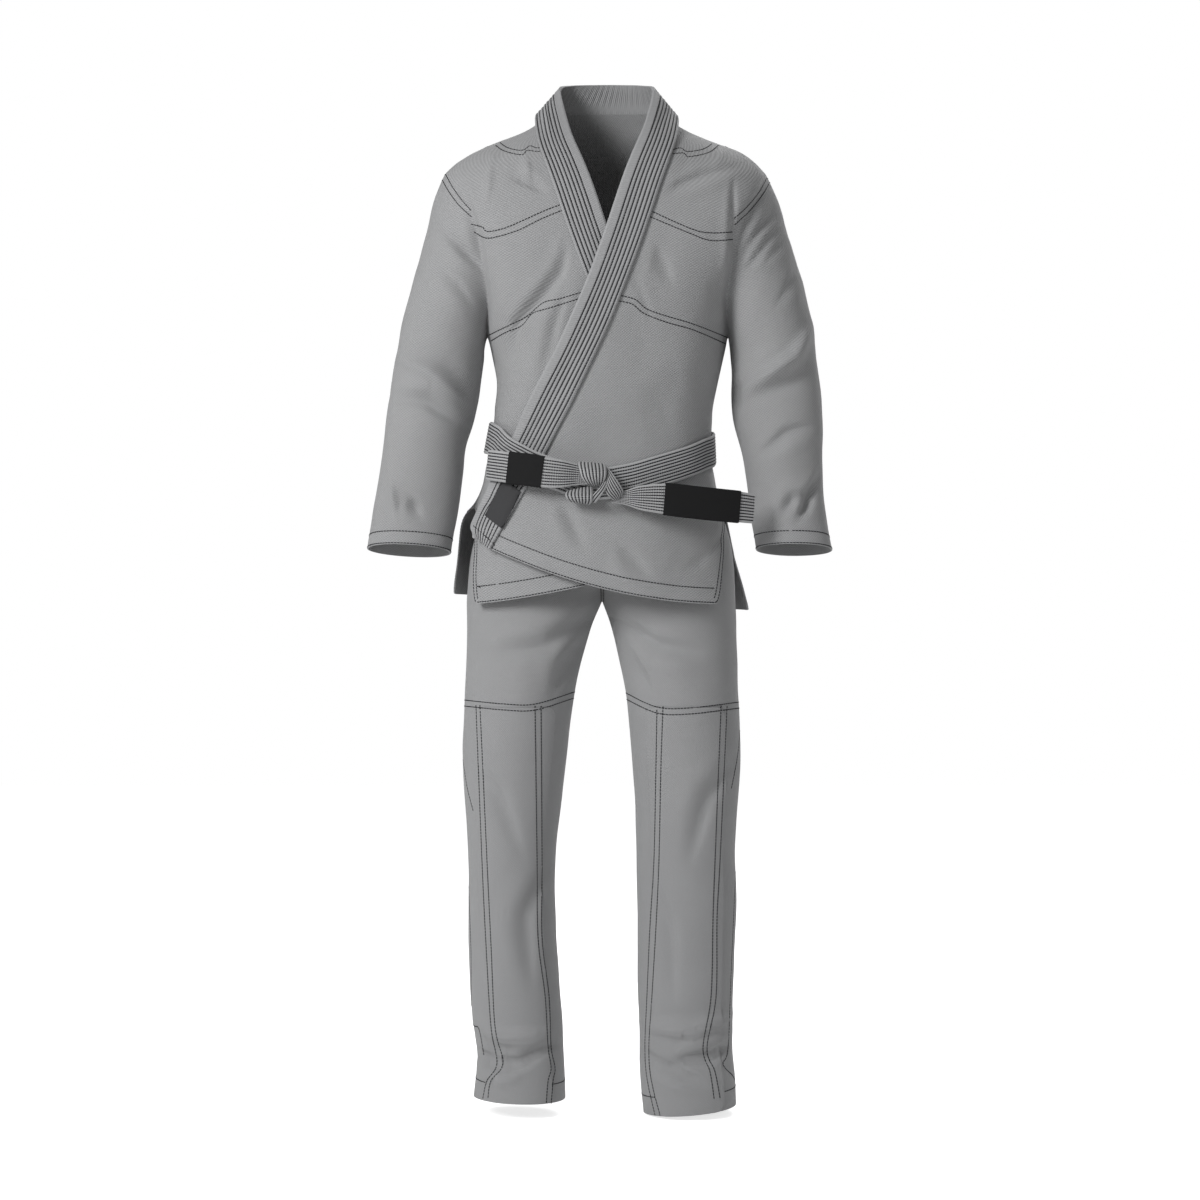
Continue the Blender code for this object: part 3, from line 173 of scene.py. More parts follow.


# rows: first one, step and last number, half width of the dark line of thread and painted groove shade,
# length of a stitch
def clothMaterial(
    name, colour, roughness, across, along, scatter, depth, contrast=1.0, rows=None, sheen=0.2
):
    material, tree, shader = newMaterial(name, colour, roughness, sheen)
    cloth = addNode(tree, "ShaderNodeGroup", node_tree=weave)
    cloth.inputs["Across"].default_value = across
    cloth.inputs["Along"].default_value = along
    cloth.inputs["Scatter"].default_value = scatter
    # the weave's random tone and painted shade darken and lighten the colour
    ramp = addNode(tree, "ShaderNodeMix", data_type="RGBA")
    ramp.inputs["A"].default_value = (*[c * (1 - 0.3 * contrast) for c in colour], 1)
    ramp.inputs["B"].default_value = (*[min(1, c * (1 + 0.42 * contrast)) for c in colour], 1)
    tree.links.new(cloth.outputs["Shade"], ramp.inputs["Factor"])
    tint = ramp.outputs["Result"]
    if rows:
        lines = addNode(tree, "ShaderNodeGroup", node_tree=stitchesAndGrooveShade)
        for label, setting in zip(("First", "Step", "Last", "Half width", "Stitch"), rows):
            lines.inputs[label].default_value = setting
        # dark thread and painted groove shade along the rows
        threadAndGrooveShade = addNode(tree, "ShaderNodeMix", data_type="RGBA")
        threadAndGrooveShade.inputs["B"].default_value = (0.018, 0.018, 0.02, 1)
        tree.links.new(lines.outputs["Mask"], threadAndGrooveShade.inputs["Factor"])
        tree.links.new(tint, threadAndGrooveShade.inputs["A"])
        tint = threadAndGrooveShade.outputs["Result"]
    tree.links.new(tint, shader.inputs["Base Color"])
    bump = addNode(tree, "ShaderNodeBump")
    bump.inputs["Strength"].default_value = 0.7
    bump.inputs["Distance"].default_value = depth
    tree.links.new(cloth.outputs["Height"], bump.inputs["Height"])
    tree.links.new(bump.outputs["Normal"], shader.inputs["Normal"])
    return material


lapelRows = (0.014, 0.0057, 6, 0.0014, 0.0042)
beltRows = (0.0045, 0.0044, 8, 0.0013, 0.0036)
jacketCloth = clothMaterial("pearl weave", (0.315, 0.317, 0.322), 0.88, 0.0046, 0.0036, 0.55, 0.001, 0.85)
trouserCloth = clothMaterial("canvas", (0.31, 0.312, 0.317), 0.85, 0.0024, 0.0024, 0.4, 0.0008, 0.8)
bandCloth = clothMaterial(
    "ribbed band", (0.32, 0.322, 0.328), 0.8, 0.003, 0.08, 0.1, 0.0008, 0.6, lapelRows
)
bandInside = clothMaterial("band's plain side", (0.3, 0.302, 0.307), 0.85, 0.003, 0.08, 0.1, 0.0012)
beltCloth = clothMaterial(
    "ribbed belt", (0.36, 0.362, 0.368), 0.8, 0.003, 0.08, 0.1, 0.0008, 0.6, beltRows
)
darkCloth = clothMaterial(
    "charcoal cotton", (0.0085, 0.0085, 0.009), 0.85, 0.0016, 0.0016, 0.3, 0.0004, sheen=0
)
patchCloth = clothMaterial(
    "washed charcoal cotton", (0.046, 0.046, 0.048), 0.8, 0.0016, 0.0016, 0.3, 0.0004, sheen=0
)
threadDark = newMaterial("charcoal thread", (0.012, 0.012, 0.014), 0.7, 0)[0]


# building blocks
def outerShell(name, wall):
    shell = bmesh.new()
    shell.from_mesh(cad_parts[name].data)
    bmesh.ops.remove_doubles(shell, verts=shell.verts, dist=1e-6)
    rim = [face for face in shell.faces if min(edge.calc_length() for edge in face.edges) < wall * 1.4]
    bmesh.ops.delete(shell, geom=rim, context="FACES")
    waiting = set(shell.faces)
    sides = []
    while waiting:
        side, edge = set(), [waiting.pop()]
        while edge:
            face = edge.pop()
            side.add(face)
            for other in {f for e in face.edges for f in e.link_faces} & waiting:
                waiting.discard(other)
                edge.append(other)
        sides.append(side)
    sides.sort(key=lambda side: sum(face.calc_area() for face in side))
    outer = sides[-1]
    bmesh.ops.delete(shell, geom=[f for f in shell.faces if f not in outer], context="FACES")
    bmesh.ops.join_triangles(
        shell, faces=shell.faces, angle_face_threshold=3.1, angle_shape_threshold=3.1, topology_influence=1.0
    )
    return shell


def boundaryLoops(shell):
    shell.edges.index_update()
    edges = {edge.index: edge for edge in shell.edges if len(edge.link_faces) == 1}
    loops = []
    while edges:
        # the lowest index first, so that every run starts its stitches at the same place
        edge = edges.pop(min(edges))
        loop = [edge.verts[0], edge.verts[1]]
        while True:
            following = [e for e in loop[-1].link_edges if e.index in edges]
            if not following:
                break
            edges.pop(following[0].index)
            loop.append(following[0].other_vert(loop[-1]))
        loops.append([np.array(vert.co) for vert in loop[:-1]])
    return loops


def meshObject(builder, name, material):
    mesh = bpy.data.meshes.new(name)
    builder.to_mesh(mesh)
    builder.free()
    mesh.shade_smooth()
    mesh.materials.append(material)
    piece = bpy.data.objects.new(name, mesh)
    scene.collection.objects.link(piece)
    return piece


def applyModifiers(piece):
    mesh = bpy.data.meshes.new_from_object(piece.evaluated_get(bpy.context.evaluated_depsgraph_get()))
    piece.modifiers.clear()
    piece.data = mesh


def refine(builder, levels):
    cage = meshObject(builder, "cage", jacketCloth)
    subdivision = cage.modifiers.new("refine", "SUBSURF")
    subdivision.levels = levels
    subdivision.boundary_smooth = "ALL"
    applyModifiers(cage)
    fine = bmesh.new()
    fine.from_mesh(cage.data)
    bpy.data.objects.remove(cage)
    return fine


def thicken(piece, thickness, inside=None):
    solid = piece.modifiers.new("thickness", "SOLIDIFY")
    solid.thickness = thickness
    solid.offset = -1
    if inside:
        piece.data.materials.append(inside)
        solid.material_offset = 1
    applyModifiers(piece)
    piece.data.shade_smooth()
    piece.data.set_sharp_from_angle(angle=math.radians(55))


def thinOut(piece, keep):
    lighter = piece.modifiers.new("lighter", "DECIMATE")
    lighter.ratio = keep
    applyModifiers(piece)
    piece.data.shade_smooth()


def treeOf(*pieces):
    joined = bmesh.new()
    for piece in pieces:
        joined.from_mesh(piece.data)
    tree = BVHTree.FromBMesh(joined)
    joined.free()
    return tree


def unit(vectors):
    return vectors / np.maximum(np.linalg.norm(vectors, axis=-1, keepdims=True), 1e-12)


# creases: side, line of (x, z) points, width, height; each has a lesser ridge beside it
def creaseRise(points, normals, creases):
    x, z = points[:, 0], points[:, 2]
    rise = np.zeros(len(points))
    for side, line, width, height in creases:
        facing = np.clip(normals[:, 1] * (-1 if side == "front" else 1), 0, 1) ** 0.6
        line = np.array(line)
        steps = np.linalg.norm(np.diff(line, axis=0), axis=1)
        runs = np.concatenate([[0], np.cumsum(steps)])
        best = np.full(len(points), 9.0)
        offset = np.zeros(len(points))
        share = np.zeros(len(points))
        for start, end, step, run in zip(line, line[1:], steps, runs):
            ahead = (end - start) / step
            relX, relZ = x - start[0], z - start[1]
            along = relX * ahead[0] + relZ * ahead[1]
            aside = relX * ahead[1] - relZ * ahead[0]
            gap = np.hypot(aside, np.maximum(np.maximum(-along, along - step), 0))
            nearer = gap < best
            best = np.where(nearer, gap, best)
            offset = np.where(nearer, aside, offset)
            share = np.where(nearer, (run + np.clip(along, 0, step)) / runs[-1], share)
        taper = np.sin(np.clip(share * 0.9 + 0.05, 0, 1) * math.pi) ** 0.8
        narrow = width * (0.55 + 0.45 * taper) * np.where(offset < 0, 0.6, 1.25)
        beyond = np.sqrt(np.maximum(best**2 - offset**2, 0))
        main = np.exp(-((offset / narrow) ** 2))
        beside = np.exp(-(((offset - 1.7 * narrow) / narrow) ** 2))
        fade = np.exp(-((beyond / width) ** 2))
        rise += height * facing * taper * fade * (main - 0.4 * beside)
    return rise


def wobble(points, size, amount, seed):
    shift = Vector((seed, seed * 1.7, -seed))
    return amount * np.array([noise.noise(Vector(p) / size + shift) for p in points])


# guard is what lies on the cloth, where it stays flat; inside is what it must not reach inwards
def displace(builder, creases, guard, inside, wobbles, seed, foldScale):
    builder.normal_update()
    points = np.array([vert.co for vert in builder.verts])
    normals = np.array([vert.normal for vert in builder.verts])
    rise = creaseRise(points, normals, creases) * foldScale
    for size, amount in wobbles:
        rise += wobble(points, size, amount, seed)
    if guard:
        free = np.array([guard.find_nearest(Vector(p), 0.03)[3] or 0.03 for p in points])
        rise *= np.clip((free - 0.006) / 0.016, 0, 1)
    if inside:
        room = np.array([inside.find_nearest(Vector(p), 0.03)[3] or 0.03 for p in points])
        rise = np.maximum(rise, -np.maximum(room - 0.0045, 0))
    for vert, amount in zip(builder.verts, rise):
        vert.co += vert.normal * float(amount)


def wrapUv(piece, centre, axis, facing, radius):
    mesh = piece.data
    layer = mesh.uv_layers.new(name="cloth")
    axis = Vector(axis).normalized()
    front = (Vector(facing) - axis * axis.dot(Vector(facing))).normalized()
    side = axis.cross(front)
    places = {}
    for vert in mesh.vertices:
        rel = vert.co - Vector(centre)
        places[vert.index] = (math.atan2(rel.dot(side), rel.dot(front)), rel.dot(axis))
    for polygon in mesh.polygons:
        first = places[mesh.loops[polygon.loop_start].vertex_index][0]
        for loop in polygon.loop_indices:
            angle, height = places[mesh.loops[loop].vertex_index]
            angle += math.tau * round((first - angle) / math.tau)
            layer.data[loop].uv = (angle * radius, height)


def smoothPath(points, count):
    points = np.array(points, float)
    last = len(points) - 1
    spots = np.linspace(0, last, count)
    low = np.minimum(spots.astype(int), last - 1)
    t = (spots - low)[:, None]
    a, b = points[np.maximum(low - 1, 0)], points[low]
    c, d = points[low + 1], points[np.minimum(low + 2, last)]
    return 0.5 * (2 * b + (c - a) * t + (2 * a - 5 * b + 4 * c - d) * t**2 + (3 * b - a - 3 * c + d) * t**3)


# a strip of ribbed cloth over a grid of points, rows along it and columns across
def ribbedStrip(name, material, grid, rows, width, depth, thickness, closed=False, lift=0.0, inside=None):
    if closed:
        along = np.roll(grid, -1, axis=0) - np.roll(grid, 1, axis=0)
    else:
        along = np.gradient(grid, axis=0)
    normals = unit(np.cross(np.gradient(grid, axis=1), along))
    columns = grid.shape[1]
    across = np.linspace(0, width, columns)
    height = np.full(columns, lift)
    groove, roundedBy, roundedOver = 0.0011, 0.0016, 0.0014
    for row in rows:
        height -= depth * np.exp(-(((across - row) / groove) ** 2))
    nearEdge = np.exp(-((across / roundedOver) ** 2))
    farEdge = np.exp(-(((width - across) / roundedOver) ** 2))
    height -= roundedBy * nearEdge + roundedBy * farEdge
    surface = grid + normals * height[None, :, None]
    # the inner side stays plain: the strip gets its thickness before the ribs are sunk in its outer side
    runs = np.concatenate([[0], np.cumsum(np.linalg.norm(np.diff(grid[:, columns // 2], axis=0), axis=1))])
    builder = bmesh.new()
    layer = builder.loops.layers.uv.new("cloth")
    verts = [[builder.verts.new(point) for point in line] for line in grid]
    count = len(verts) if closed else len(verts) - 1
    for row in range(count):
        after = (row + 1) % len(verts)
        far = runs[row] + np.linalg.norm(grid[after, 0] - grid[row, 0])
        for column in range(columns - 1):
            here, there = verts[row][column:column + 2], verts[after][column:column + 2]
            face = builder.faces.new((*here, *reversed(there)))
            spots = ((runs[row], column), (runs[row], column + 1), (far, column + 1), (far, column))
            for loop, (run, place) in zip(face.loops, spots):
                loop[layer].uv = (run, across[place])
    piece = meshObject(builder, name, material)
    thicken(piece, thickness, inside)
    places = np.empty(len(piece.data.vertices) * 3)
    piece.data.vertices.foreach_get("co", places)
    places[:surface.size] = surface.ravel()
    piece.data.vertices.foreach_set("co", places)
    piece.data.update()
    return piece, surface, normals


# dashes of thread
threadLines = []


def stitchAlong(points, normals, length=0.0034, gap=0.0011, width=0.0013, height=0.0008):
    points, normals = np.array(points), np.array(normals)
    runs = np.concatenate([[0], np.cumsum(np.linalg.norm(np.diff(points, axis=0), axis=1))])
    if runs[-1] < length:
        return
    spots = np.arange(length / 2, runs[-1], length + gap)
    places = np.stack([np.interp(spots, runs, points[:, i]) for i in range(3)], axis=-1)
    fronts = np.stack([np.interp(spots + length / 2, runs, points[:, i]) for i in range(3)], axis=-1)
    ups = unit(np.stack([np.interp(spots, runs, normals[:, i]) for i in range(3)], axis=-1))
    for place, ahead, up in zip(places, fronts, ups):
        ahead = ahead - place
        ahead = ahead - up * (ahead @ up)
        size = np.linalg.norm(ahead)
        if size > 1e-5:
            threadLines.append((place, ahead / size, up, length, width, height))


def dress(piece, slot, *nodes):
    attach(piece, "root")
    if nodes:
        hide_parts(*nodes)


def buildThread(name):
    stitch = bmesh.new()
    bmesh.ops.create_cube(stitch, size=1)
    stitch.verts.index_update()
    corners = np.array([vert.co for vert in stitch.verts])
    sides = np.array([[vert.index for vert in face.verts] for face in stitch.faces])
    stitch.free()
    place, ahead, up = (np.array([line[item] for line in threadLines])[:, None] for item in range(3))
    length, width, height = (
        np.array([line[item] for line in threadLines])[:, None, None] for item in (3, 4, 5)
    )
    spots = place + corners[:, :1] * length * ahead
    spots = spots + corners[:, 1:2] * width * np.cross(up, ahead) + corners[:, 2:] * height * up
    faces = sides + 8 * np.arange(len(threadLines))[:, None, None]
    threadLines.clear()
    mesh = bpy.data.meshes.new(name)
    mesh.from_pydata(spots.reshape(-1, 3).tolist(), [], faces.reshape(-1, 4).tolist())
    mesh.materials.append(threadDark)
    piece = bpy.data.objects.new(name, mesh)
    scene.collection.objects.link(piece)
    dress(piece, "dark_cloth")
    return piece


def pixelStitch(tree, line, fromBack=False):
    line = np.array(line, float)
    count = max(8, int(np.linalg.norm(np.diff(line, axis=0), axis=1).sum() / 2))
    places, ups, ends = [], [], []
    for px, py in smoothPath(line, count):
        ray = pixelRay(px, py)
        if fromBack:
            middle = eye - ray * (eye.y / ray.y)
            hit, normal = tree.ray_cast(Vector((middle.x, 2, middle.z)), Vector((0, -1, 0)))[:2]
        else:
            hit, normal = tree.ray_cast(eye, ray)[:2]
        if hit is None or (places and (Vector(places[-1]) - hit).length > 0.03):
            if len(places) > 1:
                stitchAlong(places, ups)
            places, ups = [], []
        if hit is not None:
            places.append(tuple(hit))
            ups.append(tuple(normal))
            ends = [ends[0] if ends else places[0], places[-1]]
    if len(places) > 1:
        stitchAlong(places, ups)
    return ends


# carries a front line round the side to the back line
def sideStitch(tree, front, back):
    places, ups = [], []
    for share in np.linspace(0, 1, 12):
        hit, normal = tree.find_nearest(Vector(front).lerp(Vector(back), share))[:2]
        places.append(tuple(hit))
        ups.append(tuple(normal))
    stitchAlong(places, ups)


# wanted is asked for the place on the edge and how steeply the edge runs there
def edgeStitch(shell, tree, inset, wanted):
    for loop in boundaryLoops(shell):
        loop = np.array(loop + loop[:1])
        places, ups = [], []
        ahead = np.roll(loop[:-1], -4, axis=0) - np.roll(loop[:-1], 3, axis=0)
        steepness = np.abs(ahead[:, 2]) / np.maximum(np.linalg.norm(ahead, axis=1), 1e-9)
        for start, end, steep in zip(loop, loop[1:], steepness):
            middle = Vector((start + end) / 2)
            hit, normal = tree.find_nearest(middle)[:2]
            keep = hit is not None and wanted(middle, steep)
            if keep:
                aside = normal.cross(Vector(end - start)).normalized() * inset
                spots = [tree.find_nearest(middle + way) for way in (aside, -aside)]
                hit, normal, _, far = min(spots, key=lambda spot: spot[3])
                keep = not places or (Vector(places[-1]) - hit).length < 0.05
            if keep:
                places.append(tuple(hit))
                ups.append(tuple(normal))
            elif len(places) > 1:
                stitchAlong(places, ups)
                places, ups = [], []
        if len(places) > 1:
            stitchAlong(places, ups)


print("stage lapel and collar")
lapel = {
    "corners": ((-0.154, -0.606), (-0.179, -0.579), (0.1, -0.625), (0.145, -0.605)),
    "columns": 67,
    "perStation": 7,
    "width": 0.053,
    "flat": (0.053, 1.7),
}
lapelShell = outerShell("lapel_collar", 0.005)
lapelTree = BVHTree.FromBMesh(lapelShell)
loop = boundaryLoops(lapelShell)[0]
flat = np.array(loop)[:, (0, 2)]
at = [int(np.argmin(np.linalg.norm(flat - corner, axis=1))) for corner in lapel["corners"]]


def chain(start, end, avoid):
    count = len(loop)
    forward = [(start + step) % count for step in range((end - start) % count + 1)]
    if avoid in forward:
        forward = [(start - step) % count for step in range((start - end) % count + 1)]
    return np.array([loop[index] for index in forward])


seamChain = chain(at[0], at[2], at[1])
edgeChain = chain(at[1], at[3], at[0])
count = (len(seamChain) - 1) * lapel["perStation"] + 1
seamLine, edgeLine = smoothPath(seamChain, count), smoothPath(edgeChain, count)
shares = np.linspace(0, 1, lapel["columns"])[None, :, None]
grid = edgeLine[:, None] * (1 - shares) + seamLine[:, None] * shares
grid = np.array([[lapelTree.find_nearest(Vector(p))[0] for p in line] for line in grid])
for _ in range(9):
    grid[1:-1] = grid[1:-1] * 0.5 + (grid[:-2] + grid[2:]) * 0.25
rows = [lapelRows[0] + lapelRows[1] * number for number in range(lapelRows[2] + 1)]
lapelPiece, surface, normals = ribbedStrip(
    "lapelBand", bandCloth, grid, rows, lapel["width"], 0.0012, 0.0046, inside=bandInside
)
lapelGrid = grid
for row in rows:
    index = int(round(row / lapel["width"] * (lapel["columns"] - 1)))
    stitchAlong(surface[:, index], normals[:, index])
dress(lapelPiece, "band_cloth", "lapel_collar")
lapelThread = buildThread("lapelStitching")

print("stage belt")
belt = {
    "columns": 55,
    "perStation": 5,
    "width": 0.044,
    "rows": [beltRows[0] + beltRows[1] * number for number in range(beltRows[2] + 1)],
    "depth": 0.001,
    "round": 0.94,
    "ends": {"left": 0.21, "right": 0.16},
}


def beltThread(surface, normals):
    columns = surface.shape[1]
    for row in belt["rows"]:
        index = int(round(row / belt["width"] * (columns - 1)))
        stitchAlong(surface[:, index], normals[:, index], length=0.0026, gap=0.001, width=0.001)


beltShell = outerShell("belt_wrap", 0.004)
beltTree = BVHTree.FromBMesh(beltShell)
loops = sorted(boundaryLoops(beltShell), key=lambda ring: np.mean([p[2] for p in ring]))


def turnFromBack(ring):
    ring = np.array(ring)
    angle = np.arctan2(ring[:, 0], ring[:, 1])
    return ring[np.argsort(angle)]


lower, upper = (turnFromBack(ring) for ring in (loops[0], loops[-1]))
lower, upper = (np.vstack([ring, ring[:1]]) for ring in (lower, upper))
count = (len(lower) - 1) * belt["perStation"] + 1
lower, upper = smoothPath(lower, count)[:-1], smoothPath(upper, count)[:-1]
shares = np.linspace(0, 1, belt["columns"])[None, :, None]
grid = lower[:, None] * (1 - shares) + upper[:, None] * shares
for _ in range(6):
    grid = grid * 0.5 + (np.roll(grid, 1, axis=0) + np.roll(grid, -1, axis=0)) * 0.25
beltPiece, surface, normals = ribbedStrip(
    "beltRound", beltCloth, grid, belt["rows"], belt["width"], belt["depth"], 0.0036, closed=True
)
beltThread(surface, normals)
dress(beltPiece, "belt_cloth", "belt_wrap")

print("stage belt ends")
# each end from the knot outwards: x, y, z and half its width; each bar: gap to the tip, length
tails = {
    "left": (
        (0.008, -0.148, -0.5335, 0.008), (0.0262, -0.15, -0.5345, 0.01),
        (0.0462, -0.152, -0.5348, 0.0165), (0.0776, -0.15, -0.5361, 0.0208),
        (0.103, -0.145, -0.5388, 0.0214), (0.1286, -0.1385, -0.5415, 0.0214),
        (0.156, -0.13, -0.544, 0.0213), (0.183, -0.119, -0.5463, 0.0212),
        (0.204, -0.109, -0.5485, 0.0205),
    ),
    "right": (
        (-0.024, -0.145, -0.505, 0.012), (-0.041, -0.144, -0.503, 0.015),
        (-0.061, -0.149, -0.502, 0.019), (-0.0837, -0.149, -0.5, 0.0208),
        (-0.105, -0.142, -0.4965, 0.0213), (-0.126, -0.131, -0.4938, 0.0213),
        (-0.145, -0.116, -0.4905, 0.0212), (-0.164, -0.094, -0.487, 0.021),
    ),
}
bars = {"left": (0.022, 0.112), "right": (0.043, 0.055)}
tailSamples = 90
barLift, barMargin, barThickness = 0.0033, 0.0012, 0.0066
for side, stations in tails.items():
    line = smoothPath(stations, tailSamples)
    ahead = unit(np.gradient(line[:, :3], axis=0))
    outward = unit(np.cross(ahead, (0, 0, 1)))
    outward *= np.where(outward[:, 1:2] > 0, -1, 1)
    up = np.array([0, 0, 1]) - ahead * ahead[:, 2:3]
    run = np.concatenate([[0], np.cumsum(np.linalg.norm(np.diff(line[:, :3], axis=0), axis=1))])

    def strip(widen, lift, first, last):
        spread = np.linspace(1, -1, belt["columns"])[None, :, None]
        if side == "right":
            spread = -spread
        half = line[first:last, 3][:, None, None] + widen
        return (line[first:last, None, :3] + up[first:last, None] * spread * half
                + outward[first:last, None] * lift)

    grid = strip(0, 0.002, 0, tailSamples)
    beltEnd, surface, normals = ribbedStrip(
        f"beltEnd.{side}", beltCloth, grid, belt["rows"], belt["width"], belt["depth"], 0.004
    )
    beltThread(surface, normals)
    dress(beltEnd, "belt_cloth", f"belt_tail_{side}")
    tip, length = bars[side]
    inside = np.nonzero((run < run[-1] - tip) & (run > run[-1] - tip - length))[0]
    grid = strip(barMargin, barLift, inside[0], inside[-1] + 1)
    bar = ribbedStrip(f"beltBar.{side}", darkCloth, grid, [], belt["width"], 0, barThickness)[0]
    dress(bar, "dark_cloth", f"belt_bar_{side}")

print("stage knot")
# each loop: right and left edge as pixel and depth, its width, rows and crown, the belt it takes
knot = {
    "upper": (
        ((605.5, 463.5, -0.139), (606.5, 466, -0.15), (607, 471, -0.16), (606.5, 477, -0.163),
         (604.5, 483, -0.158), (601, 488, -0.146)),
        ((578, 461, -0.139), (577.5, 463.5, -0.15), (578.5, 469, -0.159), (580.5, 477, -0.161),
         (585, 483.5, -0.156), (591, 487.5, -0.146)),
        0.035, 7, 0.0045, 0.054,
    ),
    "lower": (
        ((592.5, 485.5, -0.14), (593, 489.5, -0.151), (593, 495, -0.16),
         (592.5, 501, -0.158), (590.5, 505, -0.146)),
        ((566, 490.5, -0.14), (564.5, 493, -0.147), (564.5, 496.5, -0.152),
         (566.5, 500, -0.15), (570, 502.5, -0.143)),
        0.035, 7, 0.0045, 0.045,
    ),
    "outer": (
        ((606, 466, -0.141), (610.5, 470, -0.152), (616, 477, -0.159), (621, 484.5, -0.159),
         (624, 491.5, -0.154), (622, 499, -0.143)),
        ((604, 474, -0.141), (603.5, 481, -0.153), (603.5, 488, -0.16), (606, 494.5, -0.16),
         (611, 499.5, -0.154), (617, 503, -0.144)),
        0.031, 6, 0.004, 0.056,
    ),
    "inner": (
        ((608.5, 476, -0.147), (608, 484, -0.16), (605, 491, -0.165),
         (600, 498, -0.163), (595, 504, -0.15)),
        ((605, 473, -0.147), (603, 481, -0.16), (599, 487.5, -0.166),
         (594, 493, -0.163), (589.5, 499, -0.15)),
        0.012, 2, 0.0012, 0.056,
    ),
}


def pixelPlace(px, py, depth):
    reach = (4 + depth) / 4 * pixelSize
    return (eye.x + (px - 600) * reach, depth, eye.z + (600 - py) * reach)


knotPieces, knotColumns = [], 49
for label, (right, left, width, rowCount, crown, length) in knot.items():
    edges = [smoothPath([pixelPlace(*spot) for spot in edge], 60) for edge in (right, left)]
    shares = np.linspace(0, 1, knotColumns)[None, :, None]
    grid = edges[0][:, None] * (1 - shares) + edges[1][:, None] * shares
    grid[:, :, 1] -= crown * (1 - (2 * shares[:, :, 0] - 1) ** 2)
    rows = belt["rows"][:rowCount]
    piece, surface, normals = ribbedStrip(
        f"knot.{label}", beltCloth, grid, rows, width, belt["depth"], 0.0038
    )
    for row in rows:
        index = int(round(row / width * (knotColumns - 1)))
        stitchAlong(surface[:, index], normals[:, index], length=0.0026, gap=0.001, width=0.0009)
    dress(piece, "belt_cloth")
    knotPieces.append(piece)
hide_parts("belt_knot")
buildThread("beltStitching")

